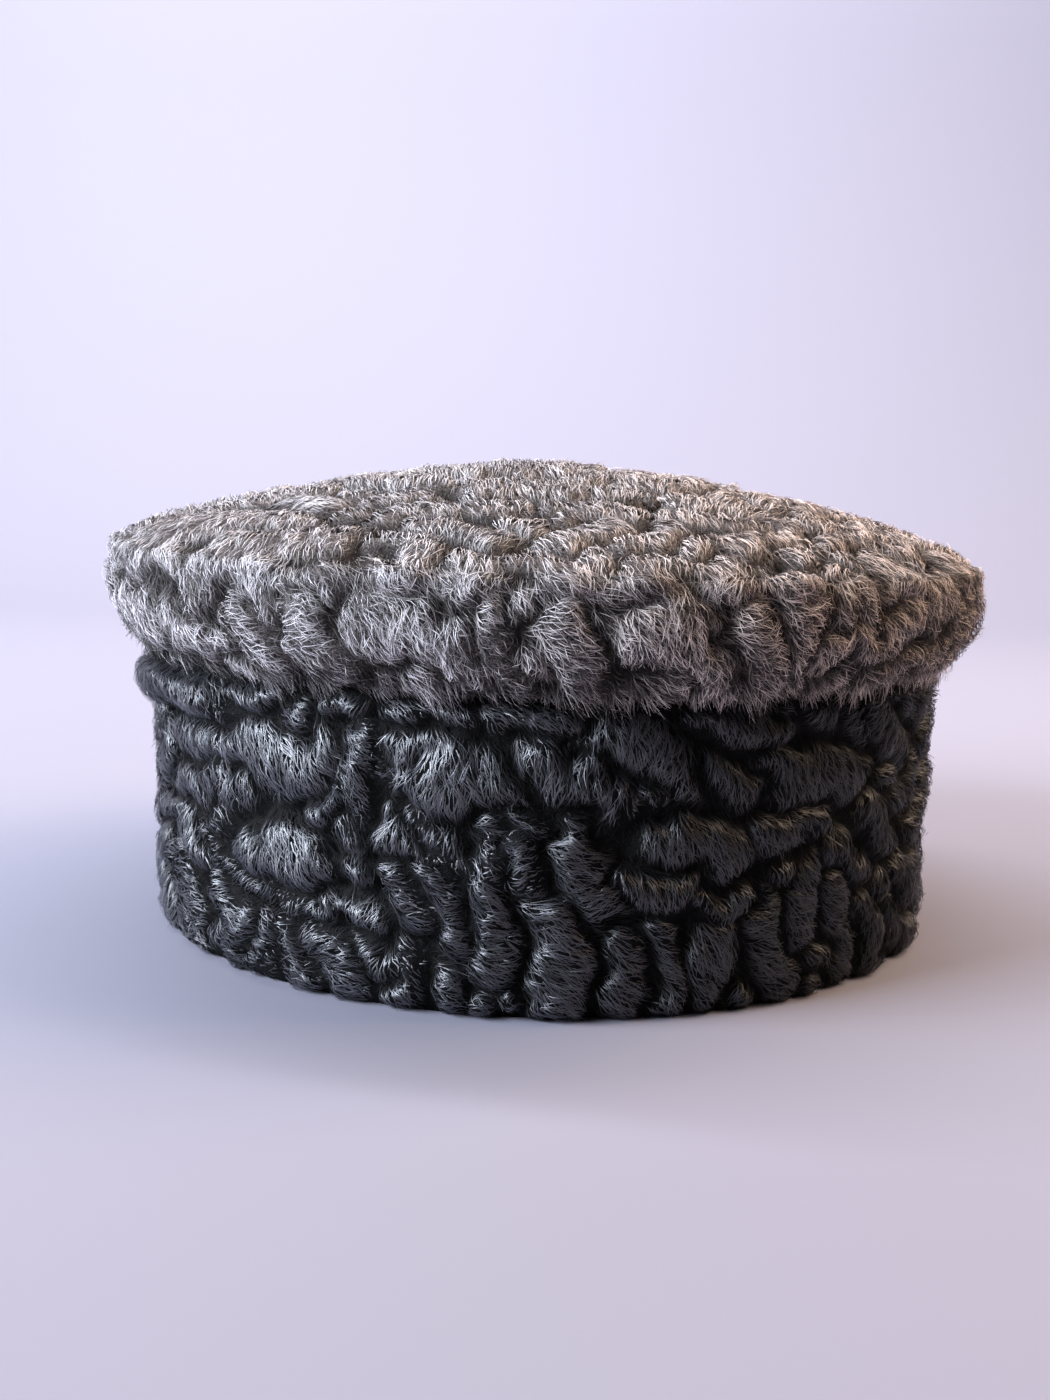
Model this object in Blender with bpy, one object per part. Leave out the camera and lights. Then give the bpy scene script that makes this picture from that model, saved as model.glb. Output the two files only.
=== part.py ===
"""Karakul hat: a black curled-pelt band, and a wider grey crown made of a side strip and a domed top.

Each piece is a skin with its fleece on the outside. The fleece lies in rolls, as karakul does: every roll
is a bowed stroke with a round back and a crease along its edges. The rolls that show in front are charted,
one row each, and the rest of the pelt is filled with rolls grown from a fixed seed.

The plan is an oval. A turn is in degrees round it, 0 at the front and 90 at +X. An offset is in mm, square
to the oval, and positive is outwards.
"""

import math

import bmesh
import bpy
import numpy as np

MM = 0.001

# The oval plan: half its width, left to right, and half its depth, front to back.
HALF_WIDTH = 97.5
HALF_DEPTH = 103.5

# Between two pieces that meet.
PAIR_GAP = 0.35

# Fleece height in a crease, over the skin.
CREASE = 0.8

# Band: an upright wall that flares a little towards the top.
BAND_HEIGHT = 66.0
BAND_SKIN = 3.0
BAND_SKIN_OFFSET = -5.3
BAND_FLARE = 0.5
BAND_FLEECE = 5.0
BAND_FOOT_ROUND = 3.5
BAND_TOP_ROUND = 4.0
BAND_TOP_SHARE = 0.35
BAND_SEAM_TURN = 60.0
BAND_SEAM_WIDTH = 2.5
BAND_SEAM_SHARE = 0.6

# Crown side: the skin's section, as offset and height, is one Bezier curve from joint to seam.
SIDE_SECTION = ((-5.6, 66.35), (1.2, 68.2), (9.8, 77.5), (5.2, 89.8))
SIDE_SKIN = 2.4
SIDE_FLEECE = 4.2
SIDE_JOINT_ROUND = 11.0

# Crown top: a low dome.
DOME_RISE = 17.0
DOME_POWER = 1.8
DOME_TURN_DOWN = 0.9
TOP_SKIN = 2.4
TOP_FLEECE = 5.0

# Both grey pieces dip at the seam between them, and the seam has settled in and down on the hat's +X side.
SEAM_ROUND = 4.0
SEAM_SHARE = 0.6
SETTLE_IN = 1.2
SETTLE_DOWN = 2.4

# Mesh density, and how far the fleece is evened out to suit it.
BAND_AROUND = 146
BAND_FOOT_ROWS = (0.0, 0.8, 2.6)
BAND_ROWS = 15
SIDE_AROUND = 120
SIDE_STEPS = (0.0, 0.1, 0.22, 0.36, 0.5, 0.64, 0.78, 0.9, 1.0)
TOP_GRID = 34
CHART_PITCH = 1.0
EVEN_OUT = 4

# How far one degree of turn goes round the band and the crown side, in mm.
BAND_DEGREE = 1.755
SIDE_DEGREE = 1.87

SEED = 7

# Charted rolls. Each goes from a to b: turn in degrees and height above the foot in mm. Bow, width and
# rise are in mm. A bow is how far the roll's middle stands to the left of its straight run.
ROLL_COLUMNS = ("turn_a", "up_a", "turn_b", "up_b", "bow", "width", "rise")
BAND_ROLLS = (
    (-126, 60, -102, 57, 1, 12, 7.4),
    (-96, 57, -48, 60, 1, 15, 9.4),
    (-47, 61, -38, 63, 0, 8, 5.4),
    (-58, 51, -30, 49, -2, 15, 5.0),
    (-60, 39, -42, 41, 2, 12, 4.8),
    (-41, 31, -30, 28, -3, 12, 5.2),
    (-53, 30, -36, 20, -3, 5, 4.2),
    (-36, 20, -26, 22, -2, 6, 4.6),
    (-48, 20, -43, 4, 1, 9, 5.2),
    (-55, 14, -53, 2, 0, 6, 5.2),
    (-61, 22, -59, 5, 1, 8, 4.6),
    (-39, 15, -40, 3, -1, 6, 5.0),
    (-36, 17, -32, 4, 1, 7, 5.2),
    (-26, 65, -23, 60, 3, 8, 5.6),
    (-19, 65, -10, 62, 1, 7, 5.2),
    (-8, 63, 4, 62, 1, 8, 4.8),
    (-22, 58, -16, 52, -5, 6, 5.2),
    (-23, 55, -29, 39, 2, 9, 5.6),
    (-17, 51, -4, 48, -2, 14, 5.4),
    (-16, 41, -5, 38, -6, 6, 5.2),
    (-20, 38, -8, 32, -2, 6, 4.8),
    (-19, 30, -14, 19, 1, 6, 5.2),
    (-15, 31, -10, 16, 1, 8, 5.4),
    (-7, 33, -6, 11, 0, 10, 6.0),
    (-5, 47, -2, 39, 1, 8, 5.4),
    (-6, 39, 1, 29, -1, 9, 5.6),
    (1, 25, 2, 2, 1, 14, 5.8),
    (2, 36, 8, 24, -2, 14, 5.6),
    (9, 17, 9, 2, 0, 10, 5.4),
    (-1, 53, 9, 46, 2, 13, 5.2),
    (6, 60, 16, 50, 2, 14, 5.4),
    (10, 43, 14, 47, 2, 7, 5.0),
    (14, 38, 25, 34, -1, 10, 5.2),
    (19, 25, 27, 25, -2, 6, 5.0),
    (10, 29, 18, 26, -1, 8, 5.0),
    (15, 19, 15, 3, 1, 8, 5.4),
    (22, 18, 20, 4, -1, 9, 5.4),
    (19, 63, 31, 57, 1, 9, 5.0),
    (21, 52, 27, 47, -1, 9, 5.0),
    (29, 53, 43, 47, -2, 13, 5.6),
    (29, 38, 38, 38, 1, 8, 5.0),
    (28, 20, 33, 4, 1, 11, 5.4),
    (37, 28, 36, 14, -1, 8, 5.2),
    (42, 24, 44, 6, 1, 9, 5.0),
    (46, 40, 55, 30, -1, 9, 4.8),
    (-12, 10, -11, 3, 0, 6, 5.2),
    (-17, 11, -18, 3, 1, 6, 5.4),
    (-22, 13, -18, 10, -3, 6, 5.2),
    (-30, 14, -25, 5, 2, 7, 5.2),
    (-28, 22, -21, 19, 2, 6, 5.0),
)

# The crown side's rows give turn, and the run in mm up from the joint with the band.
SIDE_ROLLS = (
    (-66, 17, -54, 16, 1, 12, 4.4),
    (-50, 18, -44, 12, -2, 11, 4.3),
    (-37, 20, -33, 9, 2, 8, 4.0),
    (-28, 19, -24, 12, 1, 9, 4.4),
    (-20, 19, -8, 16, 2, 11, 4.6),
    (-6, 22, -4, 9, -1, 8, 4.2),
    (1, 21, 3, 8, 1, 9, 4.6),
    (9, 20, 18, 14, 2, 10, 4.6),
    (22, 20, 26, 9, 1, 9, 4.4),
    (33, 18, 46, 20, -1, 9, 4.2),
    (40, 10, 52, 13, 1, 8, 4.4),
)

# The crown top's rows give X and Y from the middle, in mm.
TOP_ROLLS = (
    (-28, -28, 2, -32, -2, 9, 5.6),
    (-46, -34, -22, -48, 2, 8, 5.4),
    (-22, -48, 4, -50, -3, 8, 5.4),
    (-16, -60, 20, -58, 2, 9, 5.4),
    (20, -58, 42, -64, 2, 9, 5.4),
    (4, -42, 30, -40, 1, 9, 5.4),
    (-34, -72, -6, -70, 2, 12, 4.6),
    (0, -71, 20, -72, 1, 9, 5.0),
    (24, -72, 44, -68, -2, 9, 5.4),
    (-26, -82, -14, -96, 4, 10, 5.2),
    (-9, -84, -4, -90, 1, 9, 5.4),
    (1, -97, 13, -84, -3, 9, 5.6),
    (12, -95, 26, -82, -2, 9, 5.4),
    (26, -92, 48, -76, -2, 10, 5.6),
    (-16, -104, 8, -103, -2, 10, 5.2),
    (14, -104, 36, -98, -2, 9, 5.0),
    (50, -62, 52, -76, -2, 9, 5.2),
    (54, -54, 78, -50, -2, 9, 5.4),
    (58, -72, 74, -62, 2, 9, 5.4),
    (-58, -66, -84, -44, 4, 22, 4.2),
    (-44, -86, -66, -74, 2, 16, 4.2),
)

# Rolls that fill the rest: how many places are tried, and the shortest, longest, narrowest and widest.
FILL_COLUMNS = ("tries", "short", "long", "narrow", "wide")
FILL_PASSES = (
    (2600, 14.0, 26.0, 8.0, 12.0),
    (2600, 7.0, 13.0, 7.0, 9.0),
    (2600, 2.0, 5.0, 5.5, 7.0),
)
FILL_CROWDING = 0.86
GRAIN_SCALE = 38.0
GRAIN_SWING = 1.1
STROKE_PARTS = 5


def smooth_step(share):
    """An even S-shaped rise from 0 to 1."""
    share = np.clip(share, 0.0, 1.0)
    return share * share * (3.0 - 2.0 * share)


def make_roll(start, end, bow, width, rise):
    """One roll: the line along its back, half its width and its rise."""
    start, end = np.array(start, float), np.array(end, float)
    run = end - start
    side = np.array([-run[1], run[0]]) / max(float(np.hypot(*run)), 1e-6)
    share = np.linspace(0.0, 1.0, STROKE_PARTS + 1)[:, None]
    line = start + run * share + side * bow * 4.0 * share * (1.0 - share)
    return {"line": line, "half": width / 2.0, "rise": rise}


def charted_rolls(rows, degree=1.0):
    """Rolls from a table whose turns are in degrees of this many mm, or in mm where there is none."""
    rolls = []
    for row in rows:
        cell = dict(zip(ROLL_COLUMNS, row))
        start = (cell["turn_a"] * degree, cell["up_a"])
        end = (cell["turn_b"] * degree, cell["up_b"])
        rolls.append(make_roll(start, end, cell["bow"], cell["width"], cell["rise"]))
    return rolls


def short_way(distance, circuit):
    """A distance round a closed way, taken the short way. An open pelt has no circuit."""
    if circuit is None:
        return distance
    return (distance + circuit / 2.0) % circuit - circuit / 2.0


def grain_angle(point, phase, circuit):
    """The direction in which filling rolls lie, which swings slowly over the pelt."""
    waves = 1.0 / (2.0 * math.pi * GRAIN_SCALE)
    if circuit is not None:
        waves = max(1, round(circuit * waves)) / circuit
    turn = 2.0 * math.pi * waves * point[0]
    up = point[1] / GRAIN_SCALE
    swing = math.sin(turn + phase) + 0.8 * math.sin(3.1 * up + 2.3 * phase)
    swing += 0.6 * math.sin(2.0 * turn + 2.0 * up + 4.1 * phase)
    return GRAIN_SWING * swing + phase


def fill_rolls(charted, low, high, smooth, circuit, rise, phase):
    """The charted rolls, and rolls grown round them until the pelt is full, except where it is smooth."""
    dice = np.random.RandomState(SEED)
    rolls = list(charted)
    knots = np.concatenate([roll["line"] for roll in rolls])
    reach = np.concatenate([np.full(len(roll["line"]), roll["half"]) for roll in rolls])
    for row in FILL_PASSES:
        size = dict(zip(FILL_COLUMNS, row))
        for _ in range(size["tries"]):
            middle = dice.uniform(low, high)
            length = dice.uniform(size["short"], size["long"])
            width = dice.uniform(size["narrow"], size["wide"])
            angle = grain_angle(middle, phase, circuit) + dice.uniform(-0.45, 0.45)
            bow = dice.uniform(-0.16, 0.16) * length
            lift = rise * dice.uniform(0.86, 1.14)
            if smooth(middle):
                continue
            half_way = np.array([math.cos(angle), math.sin(angle)]) * length / 2.0
            roll = make_roll(middle - half_way, middle + half_way, bow, width, lift)
            gap = roll["line"][:, None, :] - knots[None, :, :]
            apart = np.hypot(short_way(gap[..., 0], circuit), gap[..., 1])
            if (apart / (reach[None, :] + roll["half"])).min() > FILL_CROWDING:
                rolls.append(roll)
                knots = np.concatenate([knots, roll["line"]])
                reach = np.concatenate([reach, np.full(len(roll["line"]), roll["half"])])
    return rolls


def way_to_line(points, line):
    """The distance of each point from the line."""
    nearest = np.full(len(points), np.inf)
    for tail, head in zip(line[:-1], line[1:]):
        span = head - tail
        gap = points - tail
        share = np.clip(gap @ span / max(float(span @ span), 1e-9), 0.0, 1.0)
        nearest = np.minimum(nearest, np.hypot(*(gap - share[:, None] * span).T))
    return nearest


def relief_chart(rolls, low, high, circuit):
    """The fleece's height over the skin on a grid: round-backed rolls, creased along their edges."""
    columns, rows = (math.ceil((b - a) / CHART_PITCH) for a, b in zip(low, high))
    x = np.linspace(low[0], high[0], columns, endpoint=circuit is None)
    y = np.linspace(low[1], high[1], rows)
    height = np.full((columns, rows), CREASE)
    for roll in rolls:
        middle = roll["line"].mean(axis=0)
        span = np.abs(roll["line"] - middle).max(axis=0) + roll["half"] * 1.3
        off_x, off_y = short_way(x - middle[0], circuit), y - middle[1]
        near = np.ix_(np.abs(off_x) < span[0], np.abs(off_y) < span[1])
        old = height[near]
        if old.size == 0:
            continue
        patch = np.stack(np.meshgrid(off_x[near[0].ravel()], off_y[near[1].ravel()], indexing="ij"), axis=-1)
        share = way_to_line(patch.reshape(-1, 2), roll["line"] - middle).reshape(old.shape) / roll["half"]
        back = CREASE + (roll["rise"] - CREASE) * np.clip(1.0 - share**2, 0.0, 1.0) ** 0.4
        edge = CREASE + (old - CREASE) * smooth_step((share - 1.0) / 0.3)
        height[near] = np.where(share < 1.0, back, edge)
    for _ in range(EVEN_OUT):
        height = even_out(even_out(height, circuit is not None).T, False).T
    return {"height": height, "corner": (x[0], y[0]), "pitch": (x[1] - x[0], y[1] - y[0])}


def even_out(height, closed):
    """Each row of the grid averaged with the rows beside it."""
    padded = np.pad(height, ((1, 1), (0, 0)), mode="wrap" if closed else "edge")
    return (padded[:-2] + 2.0 * height + padded[2:]) / 4.0


def read_chart(chart, x, y):
    """The chart's height at these points, between its four nearest grid points."""
    height = chart["height"]
    columns, rows = height.shape
    place_x = (x - chart["corner"][0]) / chart["pitch"][0] % columns
    place_y = np.clip((y - chart["corner"][1]) / chart["pitch"][1], 0.0, rows - 1.001)
    column, row = place_x.astype(int), place_y.astype(int)
    share_x, share_y = place_x - column, place_y - row
    beside = (column + 1) % columns
    lower = height[column, row] * (1.0 - share_x) + height[beside, row] * share_x
    upper = height[column, row + 1] * (1.0 - share_x) + height[beside, row + 1] * share_x
    return lower * (1.0 - share_y) + upper * share_y


def plan_point(turn, offset):
    """A point of the plan at this turn and offset."""
    angle = np.radians(turn) - math.pi / 2.0
    out_x, out_y = np.cos(angle) / HALF_WIDTH, np.sin(angle) / HALF_DEPTH
    size = np.hypot(out_x, out_y)
    x = HALF_WIDTH * np.cos(angle) + offset * out_x / size
    y = HALF_DEPTH * np.sin(angle) + offset * out_y / size
    return x, y


def even_turns(count):
    """Turns spaced evenly round the hat, from -180 up."""
    return np.arange(count) * 360.0 / count - 180.0


def side_section(share):
    """The crown side's skin at this share of its curve, and the outward direction there."""
    a, b, c, d = (np.array(corner) for corner in SIDE_SECTION)
    t = np.asarray(share, float)[..., None]
    point = (1 - t) ** 3 * a + 3 * (1 - t) ** 2 * t * b + 3 * (1 - t) * t**2 * c + t**3 * d
    way = (1 - t) ** 2 * (b - a) + 2 * (1 - t) * t * (c - b) + t**2 * (d - c)
    way = way / np.linalg.norm(way, axis=-1, keepdims=True)
    return point, np.stack([way[..., 1], -way[..., 0]], axis=-1)


def side_runs(shares):
    """The run along the crown side's skin from the joint to each of these shares of its curve."""
    fine = np.linspace(0.0, 1.0, 101)
    point, _ = side_section(fine)
    run = np.concatenate([[0.0], np.cumsum(np.hypot(*np.diff(point, axis=0).T))])
    return np.interp(shares, fine, run)


def band_share(turn, up):
    """The share of the band's fleece left at the foot, at the top edge and in the strip's upright seam."""
    foot = np.sqrt(np.clip(1.0 - (1.0 - np.minimum(up / BAND_FOOT_ROUND, 1.0)) ** 2, 0.0, 1.0))
    top = BAND_TOP_SHARE + (1.0 - BAND_TOP_SHARE) * smooth_step((BAND_HEIGHT - up) / BAND_TOP_ROUND)
    apart = np.abs(short_way(turn - BAND_SEAM_TURN, 360.0)) * BAND_DEGREE
    seam = BAND_SEAM_SHARE + (1.0 - BAND_SEAM_SHARE) * smooth_step(apart / BAND_SEAM_WIDTH)
    return foot * top * seam


def seam_share(way):
    """The share of the grey fleece left at this way from the seam round the top."""
    return SEAM_SHARE + (1.0 - SEAM_SHARE) * smooth_step(way / SEAM_ROUND)


def settling(turn):
    """How much of the settling there is at this turn: all at 90, none on the other half."""
    return np.clip(np.sin(np.radians(turn)), 0.0, 1.0) ** 2


def closed_strip(name, place):
    """A solid ring: the columns of a flat grid close round the hat, and its rows round the ring's section."""
    columns, rows = place.shape[:2]
    mesh = bmesh.new()
    bmesh.ops.create_grid(mesh, x_segments=columns, y_segments=rows, size=0.5)
    for vert in mesh.verts:
        column, row = round((vert.co.x + 0.5) * columns), round((vert.co.y + 0.5) * rows)
        vert.co = place[column % columns, row % rows] * MM
    bmesh.ops.remove_doubles(mesh, verts=mesh.verts, dist=1e-6)
    return finish_mesh(name, mesh)


def finish_mesh(name, mesh):
    """An object from this mesh, smooth apart from its sharp edges."""
    bmesh.ops.recalc_face_normals(mesh, faces=mesh.faces)
    data = bpy.data.meshes.new(name)
    mesh.to_mesh(data)
    mesh.free()
    data.shade_smooth()
    data.set_sharp_from_angle(angle=math.radians(60))
    return bpy.data.objects.new(name, data)


def build_band():
    """The black wall. Its section goes up the fleece, in over the top, down the inside and flat below."""
    half_way = 180.0 * BAND_DEGREE
    low, high = (-half_way, 0.0), (half_way, BAND_HEIGHT)
    charted = charted_rolls(BAND_ROLLS, BAND_DEGREE)
    rolls = fill_rolls(charted, low, high, lambda point: False, 2.0 * half_way, BAND_FLEECE, 1.3)
    chart = relief_chart(rolls, low, high, 2.0 * half_way)
    heights = np.concatenate([BAND_FOOT_ROWS[:-1], np.linspace(BAND_FOOT_ROWS[-1], BAND_HEIGHT, BAND_ROWS)])
    turn, up = np.meshgrid(even_turns(BAND_AROUND), heights, indexing="ij")
    fleece = read_chart(chart, turn * BAND_DEGREE, up) * band_share(turn, up)
    skin = BAND_SKIN_OFFSET + BAND_FLARE * up / BAND_HEIGHT
    ends = [-1, 0]
    offset = np.concatenate([skin + fleece, skin[:, ends] - BAND_SKIN], axis=1)
    level = np.concatenate([up, up[:, ends]], axis=1)
    x, y = plan_point(turn[:, :1], offset)
    return closed_strip("band", np.stack([x, y, level], axis=-1))


def build_side():
    """The grey strip, which flares out from the band's top edge and turns up to the seam."""
    half_way = 180.0 * SIDE_DEGREE
    shares = np.array(SIDE_STEPS)
    runs = side_runs(shares)
    low, high = (-half_way, 0.0), (half_way, runs[-1])
    charted = charted_rolls(SIDE_ROLLS, SIDE_DEGREE)
    rolls = fill_rolls(charted, low, high, lambda point: False, 2.0 * half_way, SIDE_FLEECE, 0.4)
    chart = relief_chart(rolls, low, high, 2.0 * half_way)
    turn, run = np.meshgrid(even_turns(SIDE_AROUND), runs, indexing="ij")
    fleece = read_chart(chart, turn * SIDE_DEGREE, run)
    fleece *= smooth_step(run / SIDE_JOINT_ROUND) * seam_share(runs[-1] - run)
    section, out = side_section(shares)
    outer = section + out * fleece[..., None]
    inner = (section - out * SIDE_SKIN)[::-4]
    loop = np.concatenate([outer, np.broadcast_to(inner, (SIDE_AROUND,) + inner.shape)], axis=1)
    loop_shares = np.concatenate([shares, shares[::-4]])
    loop -= np.array([SETTLE_IN, SETTLE_DOWN]) * (settling(turn[:, :1]) * loop_shares**2)[..., None]
    x, y = plan_point(turn[:, :1], loop[..., 0])
    return closed_strip("crown_side", np.stack([x, y, loop[..., 1]], axis=-1))


def dome_point(flat, fleece):
    """A point of the crown top: flat is its place in a unit disc, fleece its height over the skin."""
    seam, lean = side_section(np.array([1.0]))
    rim_offset, rim_height = seam[0] + np.array([-lean[0, 1], lean[0, 0]]) * PAIR_GAP
    share = np.clip(np.hypot(flat[:, 0], flat[:, 1]), 0.0, 1.0)
    turn = np.degrees(np.arctan2(flat[:, 0], -flat[:, 1]))
    rim_x, rim_y = plan_point(turn, rim_offset - SETTLE_IN * settling(turn))
    reach = np.hypot(rim_x, rim_y)
    slope = DOME_RISE * DOME_POWER * share ** (DOME_POWER - 1.0) / reach
    dome_out = np.stack([slope, np.ones_like(slope)], axis=1) / np.hypot(slope, 1.0)[:, None]
    turned = smooth_step((share - DOME_TURN_DOWN) / (1.0 - DOME_TURN_DOWN))[:, None]
    out = dome_out * (1.0 - turned) + lean * turned
    out = out / np.linalg.norm(out, axis=1, keepdims=True)
    along = share + out[:, 0] * fleece / reach
    up = rim_height + DOME_RISE * (1.0 - share**DOME_POWER) + out[:, 1] * fleece
    up -= SETTLE_DOWN * settling(turn) * share**2
    return np.stack([rim_x * along, rim_y * along, up], axis=1)


def disc_from_square(square):
    """Places of a square grid from -1 to 1, drawn in to a unit disc."""
    x, y = square[:, 0], square[:, 1]
    return np.stack([x * np.sqrt(1.0 - y * y / 2.0), y * np.sqrt(1.0 - x * x / 2.0)], axis=1)


def combed_flat(point):
    """Whether this place of the crown top is in its smooth left front."""
    return point[0] < -48.0 and point[1] < -20.0


def build_top():
    """The grey domed disc: a grid drawn to a circle, its edge turned down and closed underneath."""
    spread = np.array([HALF_WIDTH, HALF_DEPTH]) + SIDE_SECTION[-1][0]
    rolls = fill_rolls(charted_rolls(TOP_ROLLS), -spread, spread, combed_flat, None, TOP_FLEECE, 0.15)
    chart = relief_chart(rolls, -spread, spread, None)
    mesh = bmesh.new()
    bmesh.ops.create_grid(mesh, x_segments=TOP_GRID, y_segments=TOP_GRID, size=1.0)
    flat = disc_from_square(np.array([vert.co[:2] for vert in mesh.verts]))
    share = np.hypot(*flat.T)
    fleece = read_chart(chart, *(flat * spread).T) * seam_share((1.0 - share) * spread[0])
    on_disc = {vert: place / max(size, 1e-6) for vert, place, size in zip(mesh.verts, flat, share)}
    for vert, place in zip(mesh.verts, dome_point(flat, fleece)):
        vert.co = place * MM

    rim = [edge for edge in mesh.edges if edge.is_boundary]
    for reach in (1.0, 0.6, 0.0):
        made = bmesh.ops.extrude_edge_only(mesh, edges=rim)["geom"]
        rim = [item for item in made if isinstance(item, bmesh.types.BMEdge)]
        fresh = [item for item in made if isinstance(item, bmesh.types.BMVert)]
        above = [next(v for e in vert.link_edges for v in e.verts if v in on_disc) for vert in fresh]
        places = np.array([on_disc[vert] for vert in above])
        on_disc.update(zip(fresh, places))
        below = dome_point(places * reach, -TOP_SKIN)
        for vert, place in zip(fresh, below):
            vert.co = place * MM
    bmesh.ops.remove_doubles(mesh, verts=fresh, dist=1e-5)
    return finish_mesh("crown_top", mesh)


def pelt(name, colour, roughness):
    """A pelt's material."""
    material = bpy.data.materials.new(name)
    material.use_nodes = True
    shader = material.node_tree.nodes["Principled BSDF"]
    shader.inputs["Base Color"].default_value = (*colour, 1.0)
    shader.inputs["Roughness"].default_value = roughness
    shader.inputs["Metallic"].default_value = 0.0
    return material


def main():
    """The hat's three pieces, in a collection of their own."""
    for old in list(bpy.data.objects):
        bpy.data.objects.remove(old, do_unlink=True)
    hat = bpy.data.collections.new("karakul_hat")
    bpy.context.scene.collection.children.link(hat)
    black = pelt("black_karakul", (0.018, 0.018, 0.021), 0.5)
    grey = pelt("grey_karakul", (0.27, 0.25, 0.245), 0.7)
    for piece, material in ((build_band(), black), (build_side(), grey), (build_top(), grey)):
        piece.data.materials.append(material)
        hat.objects.link(piece)


main()
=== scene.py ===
"""Karakul hat: the looks. Curled black and grey lamb pelts, with every lock of fleece laid over its rolls.

Each pelt is charted flat. The chart holds the fleece's rolls: how high they stand, which way the hair runs
over them and how far it is to the next crease. The pelt is then wrapped round the hat's oval plan, and the
fleece grows on it, following the hair's run over the surface.
"""

import math

import bpy
import numpy as np
from mathutils import Euler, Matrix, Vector


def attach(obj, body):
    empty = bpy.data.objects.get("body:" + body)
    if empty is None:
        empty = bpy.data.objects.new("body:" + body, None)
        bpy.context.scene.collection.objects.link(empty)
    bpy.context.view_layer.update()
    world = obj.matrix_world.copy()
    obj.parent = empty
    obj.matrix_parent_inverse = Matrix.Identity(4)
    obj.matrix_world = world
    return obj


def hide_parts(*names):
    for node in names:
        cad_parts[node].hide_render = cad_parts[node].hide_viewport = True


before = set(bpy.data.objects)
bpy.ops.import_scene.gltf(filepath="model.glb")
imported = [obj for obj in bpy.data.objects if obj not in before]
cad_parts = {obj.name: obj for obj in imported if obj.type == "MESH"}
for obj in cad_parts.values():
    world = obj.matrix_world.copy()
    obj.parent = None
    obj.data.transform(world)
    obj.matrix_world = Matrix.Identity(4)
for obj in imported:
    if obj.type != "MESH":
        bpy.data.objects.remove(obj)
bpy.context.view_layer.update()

MM = 0.001

# The oval plan, and the three pieces' sizes, in mm.
HALF_WIDTH = 97.5
HALF_DEPTH = 103.5
PAIR_GAP = 0.35

# Fleece height in a crease, over the skin, in mm.
CREASE = 0.3

BAND_HEIGHT = 66.0
BAND_SKIN = 3.0
BAND_SKIN_OFFSET = -5.3
BAND_FLARE = 0.5
BAND_FLEECE = 5.0
BAND_FOOT_ROUND = 3.5
BAND_TOP_ROUND = 4.0
BAND_TOP_SHARE = 0.35
BAND_SEAM_TURN = 60.0
BAND_SEAM_WIDTH = 2.5
BAND_SEAM_SHARE = 0.6

SIDE_SECTION = ((-5.6, 66.35), (1.2, 68.2), (9.8, 77.5), (5.2, 89.8))
SIDE_SKIN = 2.4
SIDE_FLEECE = 4.2
SIDE_JOINT_ROUND = 11.0

DOME_RISE = 17.0
DOME_POWER = 1.8
DOME_TURN_DOWN = 0.9
TOP_SKIN = 2.4
TOP_FLEECE = 5.0

SEAM_ROUND = 3.4
SEAM_LEVEL = 3.4
SETTLE_IN = 1.2
SETTLE_DOWN = 2.4

BAND_DEGREE = 1.755
SIDE_DEGREE = 1.87
SEED = 7

# Spacing of the charts, of the fine guides that the hair follows, and of the pelts under it, in mm.
CHART_PITCH = 0.5
GUIDE_PITCH = 0.7
PELT_PITCH = 2.2
EVEN_OUT = 2

# How far the pelts keep below their guides, in mm.
PELT_SINK = 0.9

# How far hair crosses the seam between the grey pelts, in mm.
OVER_SEAM = 4.5

# How far hair hangs at the side's foot, and how far up the side that begins, in mm.
HANG = 3.2
HANG_TOP = 14.0

# How near the seam the hair turns to run over it, in mm.
SEAM_HAIR = 3.2

# Waves round the hat, as size, count round it and start in degrees: the fleece's level at the seam in mm, the
# sideways swing of the hair over it, and the share by which the side's hair hangs.
SEAM_WAVES = ((0.8, 17.0, 0.0), (1.0, 41.0, 40.0))
SWING, SWING_WAVES = 0.3, ((0.45, 13.0, 0.0), (0.3, 29.0, 70.0))
HANG_WAVES = ((0.35, 19.0, 0.0), (0.35, 47.0, 20.0))

# Rows of the wall's rounded foot, in mm, and how finely the pelts' hidden sides are made.
BAND_FOOT_ROWS = (0.0, 0.3, 0.9, 1.8, 2.8)
BAND_BACK_ROWS, SIDE_BACK_STEP, TOP_BACK_ROWS = 9, 3, 9

# The hair's run where there is none: on the hidden sides.
DOWN = (0.0, 0.0, -1.0)

# The bare edge at the wall's foot and top, and at the foot of the side, in mm.
FOOT_BARE, EDGE_BARE, SIDE_BARE = 0.2, 0.3, 1.5

# The lowest that a strand reaches over the floor, and how deep its root is in the pelt, in metres.
FLOOR_GAP = 0.0002
ROOT_SINK = 0.0003

# Strands are thinner on the ground where less than this is left to the crease, in mm, down to this share.
THIN_SPAN, THIN_SHARE = (0.5, 3.5), 0.3

# How a strand arches from root to tip, as a turn, its frizz's noise scale, and how its tip drops where it hangs.
ARCH_TURN = 0.86 * math.pi
FRIZZ_SCALE = 420.0
DROP_POWER = 1.5

# How unevenly the rolls run: a random shift's spacing in mm, its fewest cells and how often it is evened, and the
# swell along each roll, as a share of its width, with its length in mm.
WOBBLE_PITCH = 5.0
WOBBLE_CELLS = 4
WOBBLE_EVENINGS = 4
SWELL = 0.10
SWELL_LENGTH = 9.0

# How far a roll swells into empty fleece, in half widths, and the share of it that stands clear of the crease.
REACH_OUT = 2.4
CLEAR = 0.94

# The fleece's height at a crease's darkest, and where a roll's back is clear of its shade, in mm.
CREASE_DEPTHS = {"band": (1.2, 3.6), "side": (1.2, 3.6), "top": (1.6, 4.3)}

# The power that rounds a roll's back: 0.5 is half a tube, and less is flatter.
ROUNDNESS = 0.5

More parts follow.
